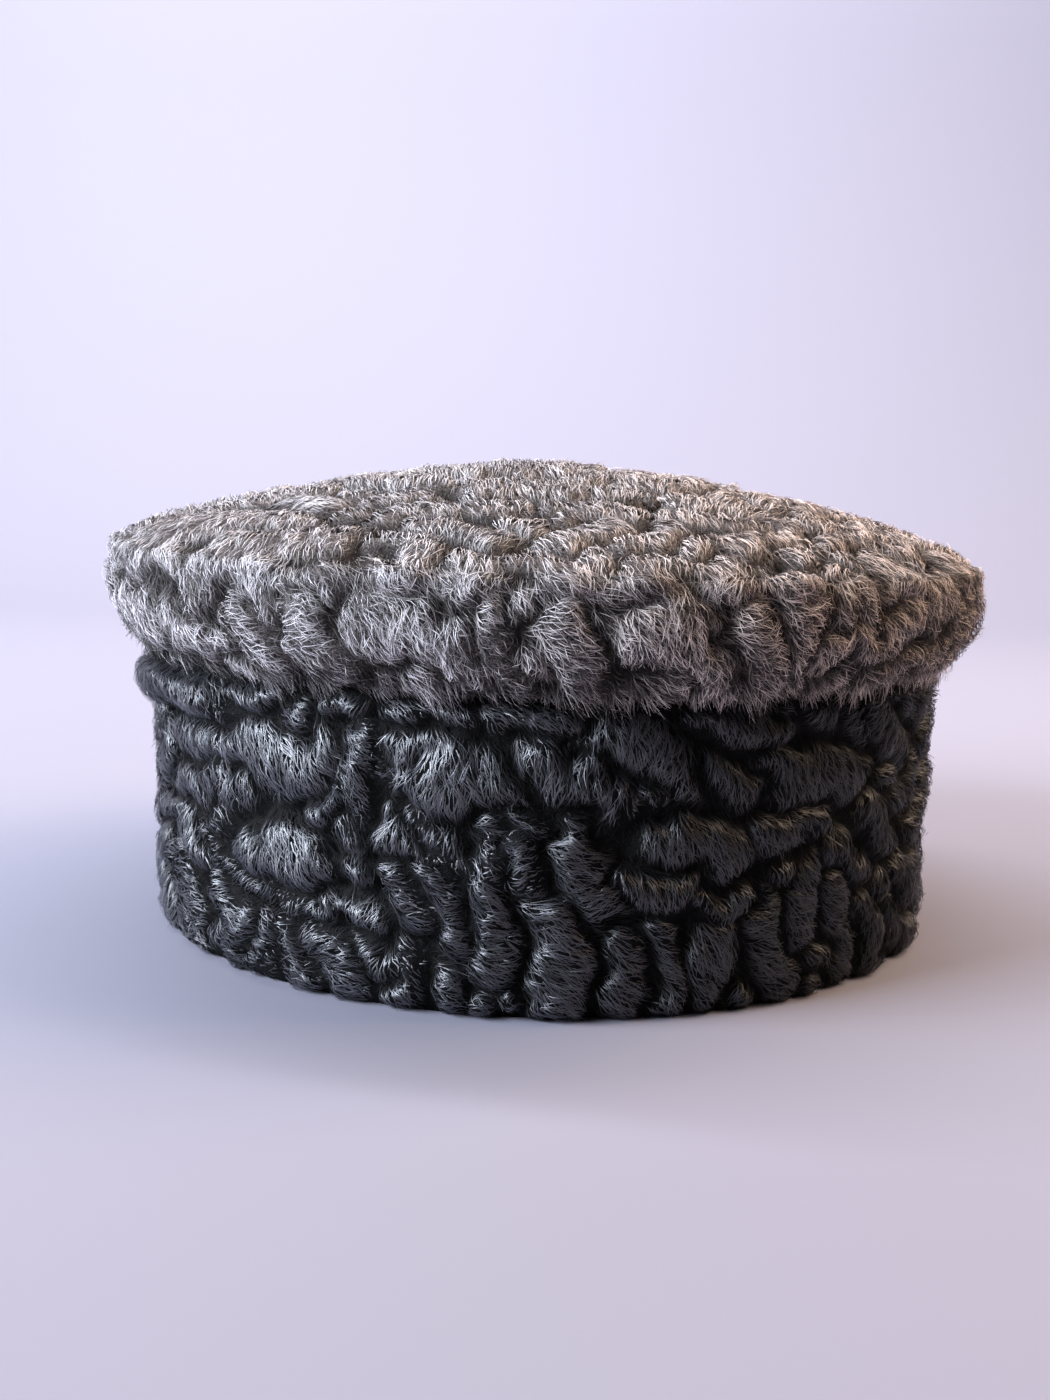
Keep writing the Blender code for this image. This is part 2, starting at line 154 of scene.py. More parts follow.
# Locks that part a roll crosswise, and how deep they part it, in mm.
LOCK_LENGTH = 3.4
LOCK_DEPTH = 0.9

# Charted rolls, as turn and height, or X and Y on the crown top. The lay is the hair's direction, in
# degrees from the roll's own direction from a to b.
ROLL_COLUMNS = ("turn_a", "up_a", "turn_b", "up_b", "bow", "width", "rise", "lay")
BAND_ROLLS = (
    (-126, 60, -102, 57, 1, 12, 7.4, -80),
    (-96, 57, -48, 60, 1, 15, 9.4, -80),
    (-47, 61, -38, 63, 0, 8, 5.4, -70),
    (-58, 51, -30, 49, -2, 15, 5.0, -62),
    (-60, 39, -42, 41, 2, 12, 4.8, -80),
    (-41, 31, -30, 28, -3, 12, 5.2, -70),
    (-53, 30, -36, 20, -3, 5, 4.2, 75),
    (-36, 20, -26, 22, -2, 6, 4.6, 80),
    (-48, 20, -43, 4, 1, 9, 5.2, 80),
    (-55, 14, -53, 2, 0, 6, 5.2, 85),
    (-61, 22, -59, 5, 1, 8, 4.6, 80),
    (-39, 15, -40, 3, -1, 6, 5.0, 80),
    (-36, 17, -32, 4, 1, 7, 5.2, 80),
    (-26, 65, -23, 60, 3, 8, 5.6, -80),
    (-19, 65, -10, 62, 1, 7, 5.2, -40),
    (-8, 63, 4, 62, 1, 8, 4.8, -40),
    (-22, 58, -16, 52, -5, 6, 5.2, 75),
    (-23, 55, -29, 39, 2, 9, 5.6, 80),
    (-17, 51, -4, 48, -2, 14, 5.4, -85),
    (-16, 41, -5, 38, -6, 6, 5.2, -80),
    (-20, 38, -8, 32, -2, 6, 4.8, -80),
    (-19, 30, -14, 19, 1, 6, 5.2, 75),
    (-15, 31, -10, 16, 1, 8, 5.4, 80),
    (-7, 33, -6, 11, 0, 10, 6.0, 85),
    (-5, 47, -2, 39, 1, 8, 5.4, 70),
    (-6, 39, 1, 29, -1, 9, 5.6, 75),
    (1, 25, 2, 2, 1, 14, 5.8, 70),
    (2, 36, 8, 24, -2, 14, 4.8, 70),
    (9, 17, 9, 2, 0, 10, 4.6, 80),
    (-1, 53, 9, 46, 2, 13, 5.2, -80),
    (6, 60, 16, 50, 2, 14, 4.6, -65),
    (10, 43, 14, 47, 2, 7, 5.0, -85),
    (14, 38, 25, 34, -1, 10, 4.4, -60),
    (19, 25, 27, 25, -2, 6, 5.0, -85),
    (10, 29, 18, 26, -1, 8, 5.0, -75),
    (15, 19, 16, 3, 2, 9, 4.4, 65),
    (23, 18, 20, 4, -2, 10, 4.4, 65),
    (19, 63, 31, 57, 1, 9, 5.0, -70),
    (21, 52, 27, 47, -1, 9, 4.2, -60),
    (29, 53, 43, 47, -2, 13, 4.4, -60),
    (29, 38, 38, 38, 1, 8, 5.0, -60),
    (28, 20, 33, 4, 1, 11, 4.4, 65),
    (37, 28, 36, 14, -1, 9, 4.2, 65),
    (42, 24, 44, 6, 1, 9, 4.2, 65),
    (46, 40, 55, 30, -1, 9, 4.8, -75),
    (-12, 10, -11, 3, 0, 6, 5.2, 80),
    (-17, 11, -18, 3, 1, 6, 5.4, 80),
    (-22, 13, -18, 10, -3, 6, 5.2, -80),
    (-30, 14, -25, 5, 2, 7, 5.2, 75),
    (-28, 22, -21, 19, 2, 6, 5.0, -80),
)
SIDE_ROLLS = (
    (-66, 17, -54, 16, 1, 12, 4.4, -70),
    (-50, 18, -44, 12, -2, 11, 4.3, -60),
    (-37, 20, -33, 9, 2, 8, 4.0, 80),
    (-28, 19, -24, 12, 1, 9, 4.4, 70),
    (-20, 19, -8, 16, 2, 11, 4.6, -70),
    (-6, 22, -4, 9, -1, 8, 4.2, 70),
    (1, 21, 3, 8, 1, 9, 4.6, 80),
    (9, 20, 18, 14, 2, 10, 4.6, -70),
    (22, 20, 26, 9, 1, 9, 4.4, 75),
    (33, 18, 46, 20, -1, 9, 4.2, -80),
    (40, 10, 52, 13, 1, 8, 4.4, -70),
)
TOP_ROLLS = (
    (-28, -28, 2, -32, -2, 9, 6.4, -85),
    (-46, -34, -22, -48, 2, 8, 6.2, -85),
    (-22, -48, 4, -50, -3, 8, 6.2, -85),
    (-16, -60, 20, -58, 2, 9, 6.2, -85),
    (20, -58, 42, -64, 2, 9, 6.2, -80),
    (4, -42, 30, -40, 1, 9, 6.2, -85),
    (-34, -72, -6, -70, 2, 12, 4.6, -80),
    (0, -71, 20, -72, 1, 9, 5.0, -80),
    (24, -72, 44, -68, -2, 9, 5.4, -75),
    (-26, -82, -14, -96, 4, 10, 5.2, -70),
    (-9, -84, -4, -90, 1, 9, 5.4, -80),
    (1, -97, 13, -84, -3, 9, 5.6, -80),
    (12, -95, 26, -82, -2, 9, 5.4, -80),
    (26, -92, 48, -76, -2, 10, 5.6, -75),
    (-16, -104, 8, -103, -2, 10, 5.2, -85),
    (14, -104, 36, -98, -2, 9, 5.0, -80),
    (50, -62, 52, -76, -2, 9, 5.2, 70),
    (54, -54, 78, -50, -2, 9, 5.4, -80),
    (58, -72, 74, -62, 2, 9, 5.4, -80),
    (-58, -66, -84, -44, 4, 22, 4.9, 75),
    (-44, -86, -66, -74, 2, 16, 4.9, 75),
    (-78, -30, -55, -30, 2, 15, 4.8, -75),
    (-58, -42, -50, -58, 1, 12, 4.8, 75),
)

# Rolls that fill the rest: how many places are tried, and the shortest, longest, narrowest and widest.
FILL_COLUMNS = ("tries", "short", "long", "narrow", "wide")
FILL_PASSES = (
    (2600, 14.0, 26.0, 8.0, 12.0),
    (2600, 7.0, 13.0, 7.0, 9.0),
    (2600, 2.0, 5.0, 5.5, 7.0),
)
FILL_CROWDING = 0.86
GRAIN_SCALE = 38.0
GRAIN_SWING = 1.1
STROKE_PARTS = 5

# The nap of each pelt: where its hair runs where no roll turns it, as right (or round) and up. The second
# number says how far the nap holds over the rolls, the third how often runs are evened, and the fourth how far
# the rolls wobble, in mm. Over charted rolls the nap holds by this share of that.
NAPS = {
    "band": ((0.45, -1.0), 0.35, 6, 2.0),
    "side": ((0.75, -1.0), 0.66, 12, 2.4),
    "top": ((0.25, -1.0), 0.5, 9, 1.7),
}
CHARTED_NAP = 0.8

# The hair's lay over rolls that aren't charted, in degrees from the roll's own direction.
LAYS = (64.0, 88.0)


def smooth_step(share):
    """An even S-shaped rise from 0 to 1."""
    share = np.clip(share, 0.0, 1.0)
    return share * share * (3.0 - 2.0 * share)


def make_roll(start, end, bow, width, rise, lay=None):
    """One roll: the line along its back, half its width, its rise and its hair's lay."""
    start, end = np.array(start, float), np.array(end, float)
    run = end - start
    side = np.array([-run[1], run[0]]) / max(float(np.hypot(*run)), 1e-6)
    share = np.linspace(0.0, 1.0, STROKE_PARTS + 1)[:, None]
    line = start + run * share + side * bow * 4.0 * share * (1.0 - share)
    return {"line": line, "half": width / 2.0, "rise": rise, "lay": lay}


def charted_rolls(rows, degree=1.0):
    """Rolls from a table whose turns are in degrees of this many mm, or in mm where there is none."""
    rolls = []
    for row in rows:
        cell = dict(zip(ROLL_COLUMNS, row))
        start = (cell["turn_a"] * degree, cell["up_a"])
        end = (cell["turn_b"] * degree, cell["up_b"])
        rolls.append(make_roll(start, end, cell["bow"], cell["width"], cell["rise"], cell["lay"]))
    return rolls


def short_way(distance, circuit):
    """A distance round a closed way, taken the short way. An open pelt has no circuit."""
    if circuit is None:
        return distance
    return (distance + circuit / 2.0) % circuit - circuit / 2.0


def grain_angle(point, phase, circuit):
    """The direction in which filling rolls lie, which swings slowly over the pelt."""
    waves = 1.0 / (2.0 * math.pi * GRAIN_SCALE)
    if circuit is not None:
        waves = max(1, round(circuit * waves)) / circuit
    turn = 2.0 * math.pi * waves * point[0]
    up = point[1] / GRAIN_SCALE
    swing = math.sin(turn + phase) + 0.8 * math.sin(3.1 * up + 2.3 * phase)
    swing += 0.6 * math.sin(2.0 * turn + 2.0 * up + 4.1 * phase)
    return GRAIN_SWING * swing + phase


def fill_rolls(charted, low, high, smooth, circuit, rise, phase):
    """The charted rolls, and rolls grown round them until the pelt is full, except where it is smooth."""
    dice = np.random.RandomState(SEED)
    rolls = list(charted)
    knots = np.concatenate([roll["line"] for roll in rolls])
    reach = np.concatenate([np.full(len(roll["line"]), roll["half"]) for roll in rolls])
    for row in FILL_PASSES:
        size = dict(zip(FILL_COLUMNS, row))
        for _ in range(size["tries"]):
            middle = dice.uniform(low, high)
            length = dice.uniform(size["short"], size["long"])
            width = dice.uniform(size["narrow"], size["wide"])
            angle = grain_angle(middle, phase, circuit) + dice.uniform(-0.45, 0.45)
            bow = dice.uniform(-0.16, 0.16) * length
            lift = rise * dice.uniform(0.86, 1.14)
            if smooth(middle):
                continue
            half_way = np.array([math.cos(angle), math.sin(angle)]) * length / 2.0
            roll = make_roll(middle - half_way, middle + half_way, bow, width, lift)
            gap = roll["line"][:, None, :] - knots[None, :, :]
            apart = np.hypot(short_way(gap[..., 0], circuit), gap[..., 1])
            if (apart / (reach[None, :] + roll["half"])).min() > FILL_CROWDING:
                rolls.append(roll)
                knots = np.concatenate([knots, roll["line"]])
                reach = np.concatenate([reach, np.full(len(roll["line"]), roll["half"])])
    return rolls


def along_and_across(points, line):
    """For each point: its distance from the line, how far along it it is, and which side of it it is on."""
    nearest = np.full(len(points), np.inf)
    along, side = np.zeros(len(points)), np.zeros(len(points))
    way = np.zeros((len(points), 2))
    done = 0.0
    for tail, head in zip(line[:-1], line[1:]):
        span = head - tail
        length = max(float(np.hypot(*span)), 1e-6)
        gap = points - tail
        share = np.clip(gap @ span / length**2, 0.0, 1.0)
        apart = np.hypot(*(gap - share[:, None] * span).T)
        closer = apart < nearest
        nearest = np.where(closer, apart, nearest)
        along = np.where(closer, done + gap @ span / length, along)
        side = np.where(closer, np.sign(span[0] * gap[:, 1] - span[1] * gap[:, 0]), side)
        way[closer] = span / length
        done += length
    return nearest, along, side, way


def wobble(dice, columns, rows, closed, size):
    """A slow random shift over the chart, in mm, which keeps the rolls' edges from running even."""
    across, down = (max(WOBBLE_CELLS, round(count * CHART_PITCH / WOBBLE_PITCH)) for count in (columns, rows))
    coarse = {"low": (0.0, 0.0), "pitch": (1.0, 1.0), "closed": closed,
              "shift": dice.normal(0.0, size, (across, down))}
    x, y = np.meshgrid(np.arange(columns) * across / columns, np.arange(rows) * (down - 1.0) / rows, indexing="ij")
    shift = read_chart(coarse, "shift", x, y)
    for _ in range(WOBBLE_EVENINGS):
        shift = even_out(shift, closed)
    return shift


def fleece_chart(rolls, low, high, circuit, kind):
    """The pelt charted flat: height over the skin, the hair's run as two numbers, and the way left to the next
    crease. Each roll swells until it meets the next one, and they crease halfway between them."""
    dice = np.random.RandomState(SEED + 1)
    columns, rows = (math.ceil((b - a) / CHART_PITCH) for a, b in zip(low, high))
    x = np.linspace(low[0], high[0], columns, endpoint=circuit is None)
    y = np.linspace(low[1], high[1], rows)
    nap, nap_share, evenings, wobble_size = NAPS[kind]
    nap = np.array(nap) / math.hypot(*nap)
    closed = circuit is not None
    shift_x, shift_y = (wobble(dice, columns, rows, closed, wobble_size) for _ in range(2))
    first, second = np.full((columns, rows), REACH_OUT), np.full((columns, rows), REACH_OUT)
    run = np.broadcast_to(nap, (columns, rows, 2)).copy()
    owner = {"rise": np.full((columns, rows), CREASE), "half": np.full((columns, rows), 2.0),
             "past": np.zeros((columns, rows)), "lock": np.ones((columns, rows))}
    for roll in rolls:
        lay_off, phase = dice.uniform(*LAYS), dice.uniform(0.0, 1.0)
        middle = roll["line"].mean(axis=0)
        span = np.abs(roll["line"] - middle).max(axis=0) + roll["half"] * REACH_OUT
        off_x, off_y = short_way(x - middle[0], circuit), y - middle[1]
        near = np.ix_(np.abs(off_x) < span[0], np.abs(off_y) < span[1])
        shape = first[near].shape
        if 0 in shape:
            continue
        patch = np.stack(np.meshgrid(off_x[near[0].ravel()], off_y[near[1].ravel()], indexing="ij"), axis=-1)
        patch = patch + np.stack([shift_x[near], shift_y[near]], axis=-1)
        nearest, along, side, way = along_and_across(patch.reshape(-1, 2), roll["line"] - middle)
        swell = 1.0 + SWELL * np.sin(2.0 * math.pi * (along / SWELL_LENGTH + phase))
        share = (nearest / (roll["half"] * swell)).reshape(shape)
        closer = share < first[near]
        second[near] = np.where(closer, first[near], np.minimum(second[near], share))
        first[near] = np.where(closer, share, first[near])

        lay, held = roll["lay"], nap_share * CHARTED_NAP
        if lay is None:
            whole = roll["line"][-1] - roll["line"][0]
            cross = -whole[1] * nap[0] + whole[0] * nap[1]
            lay, held = (lay_off if cross > 0.0 else -lay_off), nap_share
        cos_lay, sin_lay = math.cos(math.radians(lay)), math.sin(math.radians(lay))
        hair = np.stack([
            way[:, 0] * cos_lay - way[:, 1] * sin_lay,
            way[:, 0] * sin_lay + way[:, 1] * cos_lay], axis=1).reshape(shape + (2,))
        run[near] = np.where(closer[..., None], hair * (1.0 - held) + nap * held, run[near])
        found = {"rise": roll["rise"], "half": roll["half"],
                 "past": (side * nearest * math.copysign(1.0, lay)).reshape(shape),
                 "lock": np.cos(2.0 * math.pi * (along / LOCK_LENGTH + phase) + side * nearest * 0.5).reshape(shape)}
        for name, value in found.items():
            owner[name][near] = np.where(closer, value, owner[name][near])
    back = np.clip(1.0 - (2.0 * first / (first + second) / CLEAR) ** 2, 0.0, 1.0) ** ROUNDNESS
    height = CREASE + ((owner["rise"] - CREASE) + LOCK_DEPTH * (owner["lock"] - 1.0) * 0.5) * back
    left = owner["half"] * (first + second) / 2.0 - owner["past"]
    for _ in range(EVEN_OUT):
        height = even_out(height, closed)
    for _ in range(evenings):
        run = even_out(run, closed)
    return {"low": (x[0], y[0]), "pitch": (x[1] - x[0], y[1] - y[0]), "closed": closed,
            "height": height, "run_x": run[..., 0], "run_y": run[..., 1], "left": left}


def even_out(values, closed):
    """Each cell of the chart averaged with the cells round it."""
    for axis, mode in ((0, "wrap" if closed else "edge"), (1, "edge")):
        values = np.moveaxis(values, axis, 0)
        padded = np.concatenate([values[-1:] if mode == "wrap" else values[:1], values,
                                 values[:1] if mode == "wrap" else values[-1:]])
        values = np.moveaxis((padded[:-2] + 2.0 * values + padded[2:]) / 4.0, 0, axis)
    return values


def read_chart(chart, name, x, y):
    """One of the chart's values at these points, between its four nearest cells."""
    values = chart[name]
    columns, rows = values.shape
    place_x = (x - chart["low"][0]) / chart["pitch"][0]
    place_x = place_x % columns if chart["closed"] else np.clip(place_x, 0.0, columns - 1.001)
    place_y = np.clip((y - chart["low"][1]) / chart["pitch"][1], 0.0, rows - 1.001)
    column, row = place_x.astype(int), place_y.astype(int)
    share_x, share_y = place_x - column, place_y - row
    beside = (column + 1) % columns
    lower = values[column, row] * (1.0 - share_x) + values[beside, row] * share_x
    upper = values[column, row + 1] * (1.0 - share_x) + values[beside, row + 1] * share_x
    return lower * (1.0 - share_y) + upper * share_y


def plan_ways(turn):
    """The unit ways round and out of the oval plan at this turn."""
    angle = np.radians(turn) - math.pi / 2.0
    out = np.stack([np.cos(angle) / HALF_WIDTH, np.sin(angle) / HALF_DEPTH], axis=-1)
    out = out / np.linalg.norm(out, axis=-1, keepdims=True)
    return np.stack([-out[..., 1], out[..., 0]], axis=-1), out


def rim_reach(turn, offset):
    """The rim's X and Y at this turn and offset."""
    angle = np.radians(turn) - math.pi / 2.0
    _, out = plan_ways(turn)
    return np.stack([HALF_WIDTH * np.cos(angle), HALF_DEPTH * np.sin(angle)], axis=-1) + out * offset[..., None]


def side_section(share):
    """The crown side's skin at this share of its curve, and the ways up it and out of it."""
    a, b, c, d = (np.array(corner) for corner in SIDE_SECTION)
    t = np.asarray(share, float)[..., None]
    point = (1 - t) ** 3 * a + 3 * (1 - t) ** 2 * t * b + 3 * (1 - t) * t**2 * c + t**3 * d
    way = (1 - t) ** 2 * (b - a) + 2 * (1 - t) * t * (c - b) + t**2 * (d - c)
    way = way / np.linalg.norm(way, axis=-1, keepdims=True)
    return point, way, np.stack([way[..., 1], -way[..., 0]], axis=-1)


def side_runs(shares):
    """The run along the crown side's skin from the joint to each of these shares of its curve."""
    fine = np.linspace(0.0, 1.0, 101)
    point = side_section(fine)[0]
    run = np.concatenate([[0.0], np.cumsum(np.hypot(*np.diff(point, axis=0).T))])
    return np.interp(shares, fine, run)


def band_share(turn, up):
    """The share of the band's fleece left at the foot, at the top edge and in the strip's upright seam."""
    foot = np.sqrt(np.clip(1.0 - (1.0 - np.minimum(up / BAND_FOOT_ROUND, 1.0)) ** 2, 0.0, 1.0))
    top = BAND_TOP_SHARE + (1.0 - BAND_TOP_SHARE) * smooth_step((BAND_HEIGHT - up) / BAND_TOP_ROUND)
    apart = np.abs(short_way(turn - BAND_SEAM_TURN, 360.0)) * BAND_DEGREE
    seam = BAND_SEAM_SHARE + (1.0 - BAND_SEAM_SHARE) * smooth_step(apart / BAND_SEAM_WIDTH)
    return foot * top * seam


def waves(turn, level, rows):
    """This level with waves round the hat on it."""
    for size, count, start in rows:
        level = level + size * np.sin(np.radians(count * turn + start))
    return level


def level_at_seam(fleece, way, turn):
    """The fleece's height, brought to one level as it nears the seam, where both grey pelts meet."""
    near = smooth_step(1.2 - way / SEAM_ROUND)
    return fleece * (1.0 - near) + (SEAM_LEVEL + waves(turn, 0.0, SEAM_WAVES)) * near


def turned_to_seam(run, way, over):
    """The hair's run, turned to cross the seam where it is near."""
    near = smooth_step(1.0 - way / SEAM_HAIR)[..., None]
    return run * (1.0 - near) + over * near


def hanging(turn, run):
    """How far the side's hair hangs from its lower edge over the black wall, in mm, which changes round the hat."""
    return HANG * waves(turn, 1.0, HANG_WAVES) * smooth_step(run / 3.0) * smooth_step((HANG_TOP - run) / 7.0)


def over_seam(left, way):
    """The way left to the hair, at least enough near the seam to cross it."""
    return np.maximum(left, OVER_SEAM * smooth_step(1.6 - way / OVER_SEAM))


def hollow_share(fleece, kind):
    """The share of painted crease shade, by how deep in a crease the fleece is: 1 at the bottom, 0 on the rolls'
    backs.
    """
    bottom, back = CREASE_DEPTHS[kind]
    return 1.0 - smooth_step((fleece - bottom) / (back - bottom))


def settling(turn):
    """How much of the settling there is at this turn: all at 90, none on the other half."""
    return np.clip(np.sin(np.radians(turn)), 0.0, 1.0) ** 2


def ring_faces(columns, rows):
    """The faces of a strip that closes round the hat, and round its own section."""
    column, row = np.meshgrid(np.arange(columns), np.arange(rows), indexing="ij")
    beside, above = (column + 1) % columns, (row + 1) % rows
    corners = [column * rows + row, beside * rows + row, beside * rows + above, column * rows + above]
    return np.stack([corner.ravel() for corner in corners], axis=1)


def with_back(front, rows, back):
    """A strip's values, and after them those of its hidden side, which has this many rows."""
    return np.concatenate([front, np.broadcast_to(back, front.shape[:1] + (rows,) + front.shape[2:])], axis=1)


def read_run(chart, x, y):
    """The hair's run on the chart at these points."""
    return np.stack([read_chart(chart, name, x, y) for name in ("run_x", "run_y")], axis=-1)


def lay_on(run, way):
    """The hair's run on a strip, as round, out and up, from its run on the chart and the way up the skin."""
    return np.stack([run[..., 0], run[..., 1] * way[..., 0], run[..., 1] * way[..., 1]], axis=-1)


def band_chart():
    """The black wall's fleece, charted flat."""
    half_way = 180.0 * BAND_DEGREE
    low, high = (-half_way, 0.0), (half_way, BAND_HEIGHT)
    charted = charted_rolls(BAND_ROLLS, BAND_DEGREE)
    rolls = fill_rolls(charted, low, high, lambda point: False, 2.0 * half_way, BAND_FLEECE, 1.3)
    return fleece_chart(rolls, low, high, 2.0 * half_way, "band")


def band_pelt(chart, pitch, sink):
    """The black wall's surface: fleece outside, skin inside, turned under at the foot."""
    columns = round(360.0 * BAND_DEGREE / pitch)
    turns = np.arange(columns) * 360.0 / columns - 180.0
    heights = np.concatenate([BAND_FOOT_ROWS[:-1], np.linspace(BAND_FOOT_ROWS[-1], BAND_HEIGHT,
                                                               round(BAND_HEIGHT / pitch))])
    turn, up = np.meshgrid(turns, heights, indexing="ij")
    around = turn * BAND_DEGREE
    skin = BAND_SKIN_OFFSET + BAND_FLARE * up / BAND_HEIGHT
    fleece = (read_chart(chart, "height", around, up) - sink) * band_share(turn, up)
    back = np.linspace(BAND_HEIGHT, 0.0, BAND_BACK_ROWS)
    back_skin = BAND_SKIN_OFFSET + BAND_FLARE * back / BAND_HEIGHT - BAND_SKIN
    offset, height = with_back(skin + fleece, len(back), back_skin), with_back(up, len(back), back)
    values = {
        "turn": np.broadcast_to(turns[:, None], offset.shape),
        "section": np.stack([offset, np.ones(offset.shape), height], axis=-1),
        "lay": with_back(lay_on(read_run(chart, around, up), np.array([0.0, 1.0])), len(back), DOWN),
        "cover": with_back((up > FOOT_BARE) * (up < BAND_HEIGHT - EDGE_BARE) * 1.0, len(back), 0.0),
        "left": with_back(read_chart(chart, "left", around, up), len(back), 1.0),
        "hollow": with_back(hollow_share(fleece, "band"), len(back), 0.0),
    }
    return values, ring_faces(columns, offset.shape[1])


def side_chart():
    """The grey strip's fleece, charted flat."""
    half_way = 180.0 * SIDE_DEGREE
    low, high = (-half_way, 0.0), (half_way, side_runs(1.0))
    charted = charted_rolls(SIDE_ROLLS, SIDE_DEGREE)
    rolls = fill_rolls(charted, low, high, lambda point: False, 2.0 * half_way, SIDE_FLEECE, 0.4)
    return fleece_chart(rolls, low, high, 2.0 * half_way, "side")


def side_pelt(chart, pitch, sink):
    """The grey strip's surface, which flares out from the band's top edge and turns up to the seam."""
    length = side_runs(1.0)
    shares = np.linspace(0.0, 1.0, round(length / pitch) + 4)
    columns = round(360.0 * SIDE_DEGREE / pitch)
    turns = np.arange(columns) * 360.0 / columns - 180.0
    turn, run = np.meshgrid(turns, side_runs(shares), indexing="ij")
    around, way = turn * SIDE_DEGREE, length - run
    fleece = level_at_seam(read_chart(chart, "height", around, run), way, turn)
    hollow = hollow_share(fleece, "side")
    fleece = (fleece - sink) * smooth_step(run / SIDE_JOINT_ROUND)
    point, up, out = side_section(shares)
    back = slice(None, None, -SIDE_BACK_STEP)
    inner = (point - out * SIDE_SKIN)[back]
    loop = with_back(point + out * fleece[..., None], len(inner), inner)
    loop_shares = np.concatenate([shares, shares[back]])
    loop = loop - np.array([SETTLE_IN, SETTLE_DOWN]) * (settling(turn[:, :1]) * loop_shares**2)[..., None]
    over = np.stack([waves(turn, SWING, SWING_WAVES), np.full(turn.shape, -1.0)], axis=-1)
    lay = lay_on(turned_to_seam(read_run(chart, around, run), way, over), up)
    values = {
        "turn": np.broadcast_to(turns[:, None], loop.shape[:2]),
        "section": np.stack([loop[..., 0], np.ones(loop.shape[:2]), loop[..., 1]], axis=-1),
        "lay": with_back(lay, len(inner), DOWN),
        "cover": with_back((run > SIDE_BARE) * 1.0, len(inner), 0.0),
        "left": with_back(over_seam(read_chart(chart, "left", around, run), way), len(inner), 1.0),
        "hollow": with_back(hollow, len(inner), 0.0),
        "hang": with_back(hanging(turn, run), len(inner), 0.0),
    }
    return values, ring_faces(columns, loop.shape[1])


def combed_flat(point):
    """Whether this place of the crown top is in its smooth left front."""
    return point[0] < -48.0 and point[1] < -20.0


def dome_section(flat, fleece):
    """Turn, and offset, reach and height of a point of the crown top: flat is its place in a unit disc."""
    seam, way, lean = (part[0] for part in side_section(np.array([1.0])))
    rim_offset, rim_height = seam + way * PAIR_GAP
    share = np.clip(np.hypot(flat[:, 0], flat[:, 1]), 0.0, 1.0)
    turn = np.degrees(np.arctan2(flat[:, 0], -flat[:, 1]))
    offset = rim_offset - SETTLE_IN * settling(turn)
    reach = np.hypot(*rim_reach(turn, offset).T)
    slope = DOME_RISE * DOME_POWER * share ** (DOME_POWER - 1.0) / reach
    dome_out = np.stack([slope, np.ones_like(slope)], axis=1) / np.hypot(slope, 1.0)[:, None]
    turned = smooth_step((share - DOME_TURN_DOWN) / (1.0 - DOME_TURN_DOWN))[:, None]
    out = dome_out * (1.0 - turned) + lean * turned
    out = out / np.linalg.norm(out, axis=1, keepdims=True)
    up = rim_height + DOME_RISE * (1.0 - share**DOME_POWER) + out[:, 1] * fleece
    up -= SETTLE_DOWN * settling(turn) * share**2
    return turn, np.stack([offset, share + out[:, 0] * fleece / reach, up], axis=1)


TOP_SPREAD = np.array([HALF_WIDTH, HALF_DEPTH]) + SIDE_SECTION[-1][0]


def top_chart():
    """The grey dome's fleece, charted flat."""
    spread = TOP_SPREAD
    rolls = fill_rolls(charted_rolls(TOP_ROLLS), -spread, spread, combed_flat, None, TOP_FLEECE, 0.15)
    return fleece_chart(rolls, -spread, spread, None, "top")


